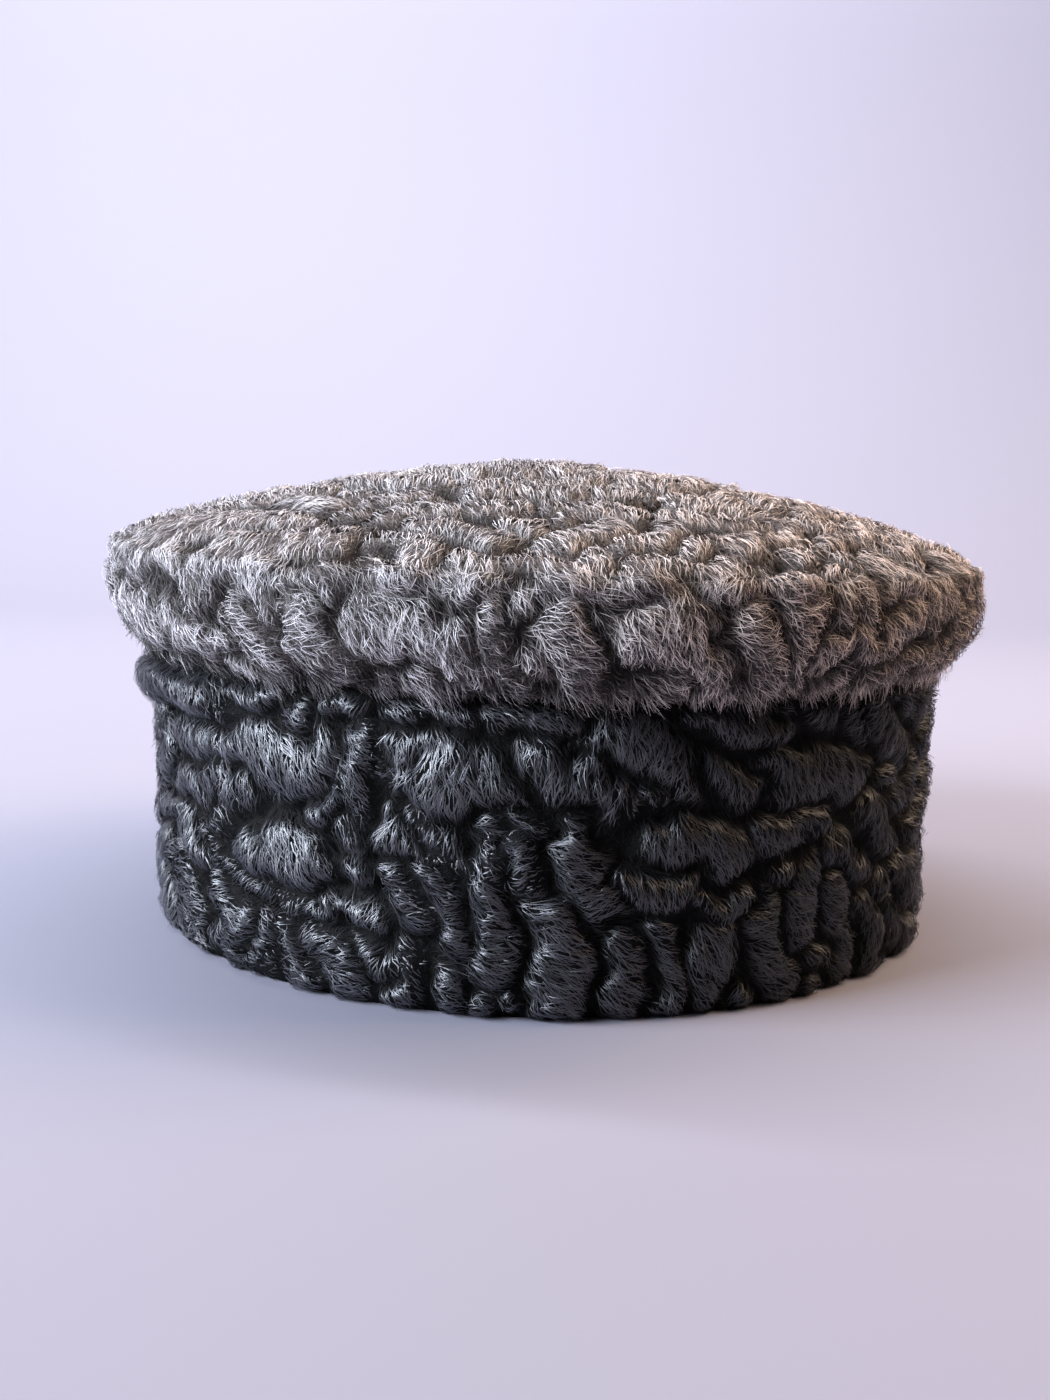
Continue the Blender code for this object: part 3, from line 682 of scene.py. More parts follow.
def top_pelt(chart, pitch, sink):
    """The grey dome's surface: one disc above, fleece side up, and another below it."""
    spread = TOP_SPREAD
    side = round(2.0 * spread[0] / pitch)
    grid = np.linspace(-1.0, 1.0, side + 1)
    x, y = (axis.ravel() for axis in np.meshgrid(grid, grid, indexing="ij"))
    flat = np.stack([x * np.sqrt(1.0 - y * y / 2.0), y * np.sqrt(1.0 - x * x / 2.0)], axis=1)
    share = np.hypot(*flat.T)
    places = (flat * spread).T
    turn = np.degrees(np.arctan2(flat[:, 0], -flat[:, 1]))
    way = (1.0 - share) * spread[0]
    fleece = level_at_seam(read_chart(chart, "height", *places), way, turn)
    turn, section = dome_section(flat, fleece - sink)
    around, out = plan_ways(turn)
    over = out + waves(turn, SWING, SWING_WAVES)[:, None] * around
    run = turned_to_seam(read_run(chart, *places), way, over)
    drop = -DOME_RISE * DOME_POWER * share ** (DOME_POWER - 1.0) / spread[0]
    outward = (run * out).sum(axis=1)
    lay = np.stack([(run * around).sum(axis=1), outward, outward * drop], axis=1)

    count = side + 1
    column, row = (axis.ravel() for axis in np.meshgrid(np.arange(side), np.arange(side), indexing="ij"))
    first = column * count + row
    faces = [tuple(face) for face in np.stack([first, first + count, first + count + 1, first + 1], axis=1)]
    rim = ([k * count for k in range(side)] + [side * count + k for k in range(side)]
           + [k * count + side for k in range(side, 0, -1)] + [k for k in range(side, 0, -1)])
    rings = np.linspace(1.0, 0.0, TOP_BACK_ROWS)[:-1]
    under, ring_flat = len(flat), flat[rim] / share[rim, None]
    below = [dome_section(ring_flat * ring, -TOP_SKIN) for ring in rings] + [dome_section(flat[:1] * 0.0, -TOP_SKIN)]
    loops = [rim] + [[under + k * len(rim) + j for j in range(len(rim))] for k in range(len(rings))]
    for upper, lower in zip(loops[:-1], loops[1:]):
        for j in range(len(rim)):
            faces.append((upper[j], lower[j], lower[(j + 1) % len(rim)], upper[(j + 1) % len(rim)]))
    middle = under + len(rings) * len(rim)
    faces += [(loops[-1][(j + 1) % len(rim)], loops[-1][j], middle) for j in range(len(rim))]
    extra = middle + 1 - under
    values = {
        "turn": np.concatenate([turn] + [part[0] for part in below]),
        "section": np.concatenate([section] + [part[1] for part in below]),
        "lay": np.concatenate([lay, np.broadcast_to([0.0, 1.0, 0.0], (extra, 3))]),
        "cover": np.concatenate([np.ones(len(share)), np.zeros(extra)]),
        "left": np.concatenate([over_seam(read_chart(chart, "left", *places), way), np.ones(extra)]),
        "hollow": np.concatenate([hollow_share(fleece, "top"), np.zeros(extra)]),
    }
    return values, faces


def new_tree(name, kind, inputs, outputs):
    """An empty node tree with these named inputs and outputs, and its two end nodes."""
    tree = bpy.data.node_groups.new(name, kind)
    for direction, sockets in (("INPUT", inputs), ("OUTPUT", outputs)):
        for label, socket in sockets:
            tree.interface.new_socket(label, in_out=direction, socket_type="NodeSocket" + socket)
    return tree, tree.nodes.new("NodeGroupInput").outputs, tree.nodes.new("NodeGroupOutput").inputs


def put(tree, kind, inputs=(), **settings):
    """A node in this tree, with its settings, and its inputs set or linked."""
    made = tree.nodes.new(kind)
    for name, value in settings.items():
        setattr(made, name, value)
    for key, value in dict(inputs).items():
        if isinstance(value, bpy.types.NodeSocket):
            tree.links.new(value, made.inputs[key])
        else:
            made.inputs[key].default_value = value
    return made


def calc(tree, operation, *values, clamp=False):
    """A sum on numbers."""
    return put(tree, "ShaderNodeMath", enumerate(values), operation=operation, use_clamp=clamp).outputs[0]


def turn_way(tree, operation, *values):
    """A sum on directions and places."""
    made = put(tree, "ShaderNodeVectorMath", enumerate(values), operation=operation)
    return made.outputs["Value" if operation in ("DOT_PRODUCT", "LENGTH", "DISTANCE") else "Vector"]


def scaled(tree, way, size):
    """A direction made this many times as long."""
    return put(tree, "ShaderNodeVectorMath", {0: way, "Scale": size}, operation="SCALE").outputs["Vector"]


def split(tree, way):
    """The three numbers of a direction."""
    return put(tree, "ShaderNodeSeparateXYZ", {0: way}).outputs


def joined(tree, *numbers):
    """A direction from three numbers."""
    return put(tree, "ShaderNodeCombineXYZ", enumerate(numbers)).outputs[0]


def kept(tree, name, kind="FLOAT"):
    """A value that the geometry carries under this name."""
    return put(tree, "GeometryNodeInputNamedAttribute", {"Name": name}, data_type=kind).outputs["Attribute"]


def keep(tree, geometry, name, value, kind="FLOAT"):
    """The geometry, now carrying this value under this name at each point."""
    return put(tree, "GeometryNodeStoreNamedAttribute", {"Geometry": geometry, "Name": name, "Value": value},
               data_type=kind, domain="POINT").outputs["Geometry"]


def chance(tree, low, high, seed):
    """A random number between two for each point."""
    made = put(tree, "FunctionNodeRandomValue", {"Seed": seed}, data_type="FLOAT")
    for socket in made.inputs:
        if socket.identifier == "Min_001":
            socket.default_value = low
        if socket.identifier == "Max_001":
            socket.default_value = high
    return next(socket for socket in made.outputs if socket.enabled)


def ranged(tree, value, low, high, start=0.0, end=1.0, **settings):
    """A value's place between low and high, on a scale from start to end."""
    return put(tree, "ShaderNodeMapRange", {0: value, 1: low, 2: high, 3: start, 4: end}, **settings).outputs[0]


def noise(tree, place, scale, detail, output="Fac"):
    """A fractal noise at this place."""
    return put(tree, "ShaderNodeTexNoise", {"Vector": place, "Scale": scale, "Detail": detail}).outputs[output]


def blended(tree, share, first, second):
    """A colour between two."""
    return put(tree, "ShaderNodeMix", {0: share, 6: first, 7: second}, data_type="RGBA").outputs[2]


def object_place(tree):
    """The place of a shaded point on the object."""
    return put(tree, "ShaderNodeTexCoord").outputs["Object"]


def wrapping_tree():
    """Wraps a flat pelt round the oval plan. Each point goes to its turn and section, and the hair's run with it."""
    tree, given, result = new_tree(
        "wrap_pelt_round_hat", "GeometryNodeTree",
        (("Pelt", "Geometry"), ("Half width", "Float"), ("Half depth", "Float"), ("Fleece", "Material"),
         ("Skin side", "Material")), (("Pelt", "Geometry"),))
    angle = calc(tree, "SUBTRACT", calc(tree, "RADIANS", kept(tree, "turn")), math.pi / 2.0)
    cos, sin = calc(tree, "COSINE", angle), calc(tree, "SINE", angle)
    out = turn_way(tree, "NORMALIZE", joined(
        tree, calc(tree, "DIVIDE", cos, given["Half width"]), calc(tree, "DIVIDE", sin, given["Half depth"]), 0.0))
    oval = joined(tree, calc(tree, "MULTIPLY", cos, given["Half width"]),
                  calc(tree, "MULTIPLY", sin, given["Half depth"]), 0.0)
    offset, reach, height = split(tree, kept(tree, "section", "FLOAT_VECTOR"))
    flat = scaled(tree, turn_way(tree, "ADD", oval, scaled(tree, out, offset)), reach)
    place = scaled(tree, turn_way(tree, "ADD", flat, joined(tree, 0.0, 0.0, height)), MM)
    placed = put(tree, "GeometryNodeSetPosition", {"Geometry": given["Pelt"], "Position": place}).outputs[0]

    out_x, out_y, _ = split(tree, out)
    around = joined(tree, calc(tree, "MULTIPLY", out_y, -1.0), out_x, 0.0)
    lay_around, lay_out, lay_up = split(tree, kept(tree, "lay", "FLOAT_VECTOR"))
    run = turn_way(tree, "ADD", scaled(tree, around, lay_around), scaled(tree, out, lay_out))
    run = turn_way(tree, "ADD", run, joined(tree, 0.0, 0.0, lay_up))
    marked = keep(tree, placed, "lay", run, "FLOAT_VECTOR")
    marked = keep(tree, marked, "pelt_out", put(tree, "GeometryNodeInputNormal").outputs[0], "FLOAT_VECTOR")
    real = put(tree, "GeometryNodeRealizeInstances", {0: marked}).outputs[0]
    covered = put(tree, "GeometryNodeSetMaterial", {"Geometry": real, "Material": given["Fleece"]}).outputs[0]
    bare = calc(tree, "LESS_THAN", kept(tree, "cover"), 0.25)
    finished = put(tree, "GeometryNodeSetMaterial",
                   {"Geometry": covered, "Selection": bare, "Material": given["Skin side"]}).outputs[0]
    tree.links.new(finished, result["Pelt"])
    return tree


def following_tree(steps):
    """One step of a strand over the pelt: on along the hair's run, and down onto the pelt again."""
    strings = ("Last spot", "Spot", "Raised", "Edge", "Depth", "Outward")
    tree, given, result = new_tree(
        "follow_fleece", "GeometryNodeTree",
        (("Roots", "Geometry"), ("Pelt", "Geometry"), *((name, "String") for name in strings),
         ("Share", "Float"), ("Lift", "Float"), ("Clump", "Float"), ("Frizz", "Float")), (("Roots", "Geometry"),))

    def over_pelt(name, spot, kind="FLOAT_VECTOR"):
        """One of the pelt's values at this spot."""
        return put(tree, "GeometryNodeSampleNearestSurface",
                   {"Mesh": given["Pelt"], "Value": kept(tree, name, kind), "Sample Position": spot},
                   data_type=kind).outputs["Value"]

    last = kept(tree, given["Last spot"], "FLOAT_VECTOR")
    out = turn_way(tree, "NORMALIZE", over_pelt("pelt_out", last))
    lay = over_pelt("lay", last)
    level = turn_way(tree, "SUBTRACT", lay, scaled(tree, out, turn_way(tree, "DOT_PRODUCT", lay, out)))
    run = put(tree, "ShaderNodeVectorRotate",
              {"Vector": turn_way(tree, "NORMALIZE", level), "Axis": out, "Angle": kept(tree, "sway")},
              rotation_type="AXIS_ANGLE").outputs[0]
    stride = calc(tree, "DIVIDE", kept(tree, "reach"), steps)
    guess = turn_way(tree, "ADD", last, scaled(tree, run, stride))
    found = put(tree, "GeometryNodeProximity",
                {0: given["Pelt"], "Sample Position": guess}, target_element="FACES").outputs["Position"]
    roots = keep(tree, given["Roots"], given["Spot"], found, "FLOAT_VECTOR")
    spot = kept(tree, given["Spot"], "FLOAT_VECTOR")
    # The pelt's painted crease shade at each step, so that the parts of a strand that lie in a crease take it.
    roots = keep(tree, roots, given["Depth"], over_pelt("hollow", spot, "FLOAT"))
    roots = keep(tree, roots, given["Outward"], over_pelt("pelt_out", spot), "FLOAT_VECTOR")

    arch = calc(tree, "SINE", calc(tree, "MULTIPLY", given["Share"], ARCH_TURN))
    lift = calc(tree, "MULTIPLY", calc(tree, "MULTIPLY", given["Lift"], arch), kept(tree, "loft"))
    pull = scaled(tree, kept(tree, "pull", "FLOAT_VECTOR"), calc(tree, "MULTIPLY", given["Clump"], given["Share"]))
    wave = turn_way(tree, "SUBTRACT", noise(tree, found, FRIZZ_SCALE, 1.0, "Color"), (0.5, 0.5, 0.5))
    frizz = scaled(tree, wave, calc(tree, "MULTIPLY", given["Frizz"], given["Share"]))
    drop = calc(tree, "MULTIPLY", kept(tree, "drop"), calc(tree, "POWER", given["Share"], DROP_POWER))
    frizz = turn_way(tree, "SUBTRACT", frizz, joined(tree, 0.0, 0.0, drop))
    raised = turn_way(tree, "ADD", spot, scaled(tree, out, lift))
    raised = turn_way(tree, "ADD", turn_way(tree, "ADD", raised, pull), frizz)
    roots = keep(tree, roots, given["Raised"], raised, "FLOAT_VECTOR")
    edge = turn_way(tree, "NORMALIZE", turn_way(tree, "CROSS_PRODUCT", run, out))
    edge = put(tree, "ShaderNodeVectorRotate", {"Vector": edge, "Axis": run, "Angle": kept(tree, "twist")},
               rotation_type="AXIS_ANGLE").outputs[0]
    roots = keep(tree, roots, given["Edge"], edge, "FLOAT_VECTOR")
    tree.links.new(roots, result["Roots"])
    return tree


def fleece_tree(steps):
    """Strands of fleece over a pelt, each a thin blade that follows the hair's run in this many steps."""
    follow = following_tree(steps)
    tree, given, result = new_tree(
        "grow_fleece", "GeometryNodeTree",
        (("Pelt", "Geometry"), ("Pelt beside", "Object"), ("Seed", "Int"), ("Hair", "Material"),
         *((name, "Float") for name in COAT_SIZES)), (("Fleece", "Geometry"),))
    pelt = given["Pelt"]
    beside = put(tree, "GeometryNodeObjectInfo", {"Object": given["Pelt beside"]}).outputs["Geometry"]
    both = tree.nodes.new("GeometryNodeJoinGeometry")
    tree.links.new(beside, both.inputs[0])
    tree.links.new(pelt, both.inputs[0])
    spare = kept(tree, "left")
    room = ranged(tree, spare, *THIN_SPAN, THIN_SHARE, 1.0)
    density = calc(tree, "MULTIPLY", calc(tree, "MULTIPLY", given["Density"], kept(tree, "cover")), room)
    spread = put(tree, "GeometryNodeDistributePointsOnFaces",
                 {"Mesh": pelt, "Density": density, "Seed": given["Seed"]}, distribute_method="RANDOM")
    roots = spread.outputs["Points"]
    place = put(tree, "GeometryNodeInputPosition").outputs[0]
    cell = put(tree, "ShaderNodeTexVoronoi",
               {"Vector": place, "Scale": calc(tree, "DIVIDE", 1.0, given["Lock size"]), "Randomness": 1.0})
    lock_red, lock_green, lock_blue = split(tree, cell.outputs["Color"])
    pull = turn_way(tree, "SUBTRACT", cell.outputs["Position"], place)
    reach = calc(tree, "MINIMUM", given["Length"],
                 calc(tree, "ADD", calc(tree, "MULTIPLY", calc(tree, "MAXIMUM", spare, 0.0), MM), given["Overhang"]))
    reach = calc(tree, "MULTIPLY", reach, chance(tree, 0.7, 1.15, 1))
    roots = keep(tree, roots, "reach", reach)
    roots = keep(tree, roots, "pull", pull, "FLOAT_VECTOR")
    roots = keep(tree, roots, "tone", chance(tree, 0.0, 1.0, 2))
    roots = keep(tree, roots, "lock_tone", lock_red)
    roots = keep(tree, roots, "loft", calc(tree, "MULTIPLY", chance(tree, 0.3, 1.0, 3),
                                           calc(tree, "ADD", 0.35, lock_green)))
    sway = calc(tree, "ADD", chance(tree, -0.5, 0.5, 4), calc(tree, "SUBTRACT", lock_blue, 0.5))
    roots = keep(tree, roots, "sway", calc(tree, "MULTIPLY", sway, given["Sway"]))
    roots = keep(tree, roots, "twist", calc(tree, "MULTIPLY", chance(tree, -0.5, 0.5, 5), given["Twist"]))
    roots = keep(tree, roots, "girth", chance(tree, 0.6, 1.2, 6))
    roots = keep(tree, roots, "drop", calc(tree, "MULTIPLY", calc(tree, "MULTIPLY", kept(tree, "hang"), MM),
                                           chance(tree, 0.3, 1.2, 7)))
    roots = keep(tree, roots, "spot_0", place, "FLOAT_VECTOR")
    for step in range(1, steps + 1):
        names = {name: f"{name.lower()}_{step}" for name in ("Spot", "Raised", "Edge", "Depth", "Outward")}
        sizes = {name: given[name] for name in ("Lift", "Clump", "Frizz")}
        roots = put(tree, "GeometryNodeGroup", {
            "Roots": roots, "Pelt": both.outputs[0], "Last spot": f"spot_{step - 1}", "Share": step / steps,
            **names, **sizes}, node_tree=follow).outputs[0]
    root_spot = turn_way(tree, "SUBTRACT", place, scaled(tree, kept(tree, "pelt_out", "FLOAT_VECTOR"), ROOT_SINK))
    roots = keep(tree, roots, "raised_0", root_spot, "FLOAT_VECTOR")
    roots = keep(tree, roots, "edge_0", kept(tree, "edge_1", "FLOAT_VECTOR"), "FLOAT_VECTOR")
    # The root's painted crease shade.
    roots = keep(tree, roots, "depth_0", kept(tree, "hollow"))
    roots = keep(tree, roots, "outward_0", kept(tree, "pelt_out", "FLOAT_VECTOR"), "FLOAT_VECTOR")

    blade = put(tree, "GeometryNodeMeshGrid",
                {"Size X": 1.0, "Size Y": 1.0, "Vertices X": 2, "Vertices Y": steps + 1}).outputs["Mesh"]
    across, along, _ = split(tree, place)
    at_tip = calc(tree, "GREATER_THAN", along, 0.49)
    blade = put(tree, "GeometryNodeSetPosition",
                {"Geometry": blade, "Selection": at_tip, "Position": (0.0, 0.5, 0.0)}).outputs[0]
    blade = put(tree, "GeometryNodeMergeByDistance", {"Geometry": blade, "Distance": 0.01}).outputs[0]
    blade = keep(tree, blade, "across", calc(tree, "MULTIPLY", across, 2.0))
    blade = keep(tree, blade, "along", calc(tree, "ADD", along, 0.5))
    blades = put(tree, "GeometryNodeInstanceOnPoints", {"Points": roots, "Instance": blade}).outputs[0]
    real = put(tree, "GeometryNodeRealizeInstances", {0: blades}).outputs[0]

    rank = calc(tree, "ROUND", calc(tree, "MULTIPLY", kept(tree, "along"), steps))

    def at_rank(stem, kind="FLOAT_VECTOR"):
        """The strand's own value of this name at the blade's rank."""
        switch = put(tree, "GeometryNodeIndexSwitch", data_type=kind.replace("FLOAT_", ""))
        while len(switch.index_switch_items) < steps + 1:
            switch.index_switch_items.new()
        tree.links.new(rank, switch.inputs["Index"])
        for step in range(steps + 1):
            tree.links.new(kept(tree, f"{stem}_{step}", kind), switch.inputs[str(step)])
        return switch.outputs[0]

    taper = calc(tree, "SUBTRACT", 1.0, calc(tree, "MULTIPLY", 0.6, calc(tree, "POWER", kept(tree, "along"), 2.0)))
    half = calc(tree, "MULTIPLY", calc(tree, "MULTIPLY", given["Width"], 0.5), calc(
        tree, "MULTIPLY", taper, kept(tree, "girth")))
    real = keep(tree, real, "edge", at_rank("edge"), "FLOAT_VECTOR")
    # Each blade point takes the painted crease shade of its step.
    real = keep(tree, real, "hollow", at_rank("depth", "FLOAT"))
    real = keep(tree, real, "outward", at_rank("outward"), "FLOAT_VECTOR")
    edge = kept(tree, "edge", "FLOAT_VECTOR")
    side_step = scaled(tree, edge, calc(tree, "MULTIPLY", kept(tree, "across"), half))
    blade_place = turn_way(tree, "ADD", at_rank("raised"), side_step)
    blade_place = turn_way(tree, "MAXIMUM", blade_place, (-1.0, -1.0, FLOOR_GAP))
    grown = put(tree, "GeometryNodeSetPosition", {"Geometry": real, "Position": blade_place}).outputs[0]
    grown = put(tree, "GeometryNodeSetShadeSmooth", {"Geometry": grown, "Shade Smooth": True}).outputs[0]
    rounded = turn_way(tree, "ADD", put(tree, "GeometryNodeInputNormal").outputs[0],
                       scaled(tree, edge, calc(tree, "MULTIPLY", kept(tree, "across"), given["Roundness"])))
    rounded = turn_way(tree, "ADD", rounded, scaled(tree, kept(tree, "outward", "FLOAT_VECTOR"), given["Evenness"]))
    grown = put(tree, "GeometryNodeSetMeshNormal",
                {"Mesh": grown, "Custom Normal": turn_way(tree, "NORMALIZE", rounded)},
                mode="FREE", domain="POINT").outputs[0]
    finished = put(tree, "GeometryNodeSetMaterial", {"Geometry": grown, "Material": given["Hair"]}).outputs[0]
    tree.links.new(finished, result["Fleece"])
    return tree


def made_by(name, mesh, tree, sizes):
    """A finished object: this tree's work on this mesh, with these sizes, as a plain mesh."""
    start = bpy.data.objects.new(name + "_start", mesh)
    bpy.context.scene.collection.objects.link(start)
    modifier = start.modifiers.new(name, "NODES")
    modifier.node_group = tree
    for item in tree.interface.items_tree:
        if item.in_out == "INPUT" and item.name in sizes:
            modifier[item.identifier] = sizes[item.name]
    result = bpy.data.meshes.new_from_object(start.evaluated_get(bpy.context.evaluated_depsgraph_get()))
    bpy.data.objects.remove(start)
    result.name = name
    finishes_used = [material for material in result.materials if material is not None]
    if len(finishes_used) == 1:
        result.materials.clear()
        result.materials.append(finishes_used[0])
        result.polygons.foreach_set("material_index", np.zeros(len(result.polygons), int))
    made = bpy.data.objects.new(name, result)
    bpy.context.scene.collection.objects.link(made)
    return made


def flat_mesh(name, values, faces):
    """A flat mesh of a charted pelt, which carries its values at each point."""
    turn = np.asarray(values["turn"]).ravel()
    section = np.asarray(values["section"]).reshape(-1, 3)
    mesh = bpy.data.meshes.new(name)
    points = np.stack([turn, section[:, 2], section[:, 0]], axis=1) * MM
    mesh.from_pydata(points.tolist(), [], [tuple(face) for face in np.asarray(faces, dtype=object).tolist()])
    for key, value in values.items():
        flat = np.asarray(value, float).ravel()
        if len(flat) == len(turn):
            mesh.attributes.new(key, "FLOAT", "POINT").data.foreach_set("value", flat)
        else:
            mesh.attributes.new(key, "FLOAT_VECTOR", "POINT").data.foreach_set("vector", flat)
    mesh.shade_smooth()
    return mesh


# What each strand carries for its colour, the painted crease shade among it, the scale of the pelts' patches, how
# softly dark hair turns to light, and how much of a strand its root's colour takes up. The root's colour is the hair's
# own dark base, and also the colour that the painted crease shade turns a strand to.
STRAND_VALUES = ("across", "along", "tone", "lock_tone", "hollow")
PATCH_SCALE = 75.0
TONE_BLEND = 0.3
ROOT_SHARE = 0.55

# The sheen on the hair, which fades by this share over this span of X, in metres. The coat's cool cast is painted cool
# light from the window, and the same span brings in the painted warm light on the +X side.
SILK_WITH_PAINTED_COOL_CAST = {"Coat Roughness": 0.42, "Coat IOR": 1.95, "Coat Tint": (0.80, 0.86, 1.0, 1.0), "Specular IOR Level": 0.38}
MATTE, MATTE_AND_WARM_SPAN = 0.75, (-0.03, 0.07)
# The grey hair's own silver light colour, and painted warm light that takes over from it on the +X side.
SILVER, PAINTED_WARM_GOLD = (0.94, 0.89, 0.88), (1.0, 0.82, 0.72)
# The top's hair is lighter than the side's, partly by its own tone and partly as painted light from above.
HAIR_COLUMNS = ("name", "Root", "Dark hair", "Light hair", "tint", "Light share", "Lock contrast", "Patches",
                "Streaks", "Crease shade", "roughness", "gloss")
HAIRS = (
    ("black_hair", (0.001, 0.001, 0.001), (0.007, 0.006, 0.007), (0.044, 0.041, 0.046), None,
     0.5, 0.4, 0.2, 0.7, 1.0, 0.45, 1.0),
    ("side_wool", (0.007, 0.005, 0.0045), (0.050, 0.034, 0.031), SILVER, PAINTED_WARM_GOLD,
     0.30, 0.6, 1.5, 0.9, 0.85, 0.6, 0.15),
    ("side_hair", (0.009, 0.007, 0.006), (0.08, 0.057, 0.056), SILVER, PAINTED_WARM_GOLD,
     0.62, 0.6, 1.5, 0.7, 0.85, 0.5, 0.2),
    ("top_wool", (0.006, 0.0045, 0.004), (0.065, 0.050, 0.047), SILVER, PAINTED_WARM_GOLD,
     0.38, 0.6, 1.6, 0.9, 0.9, 0.6, 0.15),
    ("top_hair", (0.009, 0.007, 0.006), (0.095, 0.070, 0.060), SILVER, PAINTED_WARM_GOLD,
     0.70, 0.6, 1.6, 0.7, 0.9, 0.5, 0.2),
)

# The pelts between and under the strands: the finish, its material, its deep and shallow colours and roughness. The
# deep colour serves both for the wool's dark spots and as painted shade in the creases.
CLOSE_FLEECES = (
    ("black_close", "black_close_fleece", (0.001, 0.001, 0.001), (0.010, 0.010, 0.012), 0.7),
    ("grey_close", "grey_close_fleece", (0.012, 0.009, 0.008), (0.22, 0.195, 0.19), 0.8),
    ("black_skin", "dyed_skin_side", (0.035, 0.032, 0.031), (0.06, 0.056, 0.054), 0.85),
    ("grey_skin", "pale_skin_side", (0.42, 0.37, 0.31), (0.50, 0.45, 0.39), 0.85),
)


def strand_look():
    """A strand's colour: dark at its root, light or dark by its own tone, with fine streaks along it, and painted
    shade where it lies in a crease.
    """
    tree, given, result = new_tree(
        "strand_look", "ShaderNodeTree",
        (("Root", "Color"), ("Dark hair", "Color"), ("Light hair", "Color"), ("Light share", "Float"),
         ("Lock contrast", "Float"), ("Patches", "Float"), ("Streaks", "Float"), ("Crease shade", "Float")),
        (("Colour", "Color"), ("Streak height", "Float"), ("Crease", "Float")))
    values = {name: put(tree, "ShaderNodeAttribute", attribute_name=name).outputs["Fac"] for name in STRAND_VALUES}
    streak_place = joined(tree, calc(tree, "MULTIPLY", values["across"], 2.6),
                          calc(tree, "MULTIPLY", values["along"], 1.0), calc(tree, "MULTIPLY", values["tone"], 90.0))
    streak = ranged(tree, noise(tree, streak_place, 1.0, 1.0), 0.38, 0.62)
    edge = calc(tree, "SUBTRACT", 1.0, given["Light share"])
    mixed = calc(tree, "ADD", values["tone"], calc(tree, "MULTIPLY", calc(
        tree, "SUBTRACT", values["lock_tone"], 0.5), given["Lock contrast"]))
    mixed = calc(tree, "ADD", mixed, calc(tree, "MULTIPLY", calc(tree, "SUBTRACT", streak, 0.5), given["Streaks"]))
    patch = noise(tree, object_place(tree), PATCH_SCALE, 2.0)
    mixed = calc(tree, "ADD", mixed, calc(tree, "MULTIPLY", calc(tree, "SUBTRACT", patch, 0.5), given["Patches"]))
    light = ranged(tree, mixed, calc(tree, "SUBTRACT", edge, TONE_BLEND), calc(tree, "ADD", edge, TONE_BLEND))
    body = blended(tree, light, given["Dark hair"], given["Light hair"])
    # Painted crease shade: where a strand lies in a crease, its colour is turned back to the root's colour.
    from_root = ranged(tree, values["along"], 0.0, ROOT_SHARE, interpolation_type="SMOOTHSTEP")
    from_root = calc(tree, "MULTIPLY", from_root, calc(tree, "SUBTRACT", 1.0, calc(
        tree, "MULTIPLY", values["hollow"], given["Crease shade"])))
    tree.links.new(blended(tree, from_root, given["Root"], body), result["Colour"])
    tree.links.new(streak, result["Streak height"])
    tree.links.new(values["hollow"], result["Crease"])
    return tree


def new_material(name):
    """A material with its shader, and its tree."""
    made = bpy.data.materials.new(name)
    made.use_nodes = True
    return made, made.node_tree, made.node_tree.nodes["Principled BSDF"]


def hair(look, row):
    """A strand material. Where a painted warm side is given, it is a second light colour of painted warm light, which
    takes over towards the hat's +X side.
    """
    values = dict(zip(HAIR_COLUMNS, row))
    made, tree, shader = new_material(values["name"])
    # Across X the hair takes on painted warm light, and its sheen fades.
    share = ranged(tree, split(tree, object_place(tree))[0], *MATTE_AND_WARM_SPAN, interpolation_type="SMOOTHSTEP")
    inputs = {key: values[key] for key in HAIR_COLUMNS[5:10]}
    inputs.update({key: (*values[key], 1.0) for key in ("Root", "Dark hair", "Light hair")})
    if values["tint"] is not None:
        inputs["Light hair"] = blended(tree, share, inputs["Light hair"], (*values["tint"], 1.0))
    group = put(tree, "ShaderNodeGroup", inputs, node_tree=look)
    tree.links.new(group.outputs["Colour"], shader.inputs["Base Color"])
    bump = put(tree, "ShaderNodeBump", {"Strength": 0.2, "Distance": 0.0002, "Height": group.outputs["Streak height"]})
    tree.links.new(bump.outputs[0], shader.inputs["Normal"])
    # In the creases the colour takes the painted crease shade, and the sheen is taken away and the hair made rough, as
    # painted shade.
    crease = group.outputs["Crease"]
    tree.links.new(ranged(tree, crease, 0.1, 0.9, values["roughness"], 0.9), shader.inputs["Roughness"])
    silky = ranged(tree, crease, 0.1, 0.7, values["gloss"], 0.0)
    faded = calc(tree, "SUBTRACT", 1.0, calc(tree, "MULTIPLY", share, MATTE))
    tree.links.new(calc(tree, "MULTIPLY", silky, faded), shader.inputs["Coat Weight"])
    for name, value in SILK_WITH_PAINTED_COOL_CAST.items():
        shader.inputs[name].default_value = value
    return made


def close_fleece(name, deep, shallow, roughness):
    """The pelt itself, seen between the strands: fine short wool in small spots, with painted shade in the creases."""
    made, tree, shader = new_material(name)
    fine = noise(tree, object_place(tree), 2200.0, 2.0)
    crease = put(tree, "ShaderNodeAttribute", attribute_name="hollow").outputs["Fac"]
    # Painted crease shade: the colour turns to the deep one where the fleece lies in a crease.
    mixed = calc(tree, "MULTIPLY", ranged(tree, fine, 0.35, 0.65), calc(tree, "SUBTRACT", 1.0, crease))
    tree.links.new(blended(tree, mixed, (*deep, 1.0), (*shallow, 1.0)), shader.inputs["Base Color"])
    bump = put(tree, "ShaderNodeBump", {"Strength": 0.8, "Distance": 0.0004, "Height": fine})
    tree.links.new(bump.outputs[0], shader.inputs["Normal"])
    shader.inputs["Roughness"].default_value = roughness
    shader.inputs["Specular IOR Level"].default_value = 0.15
    return made


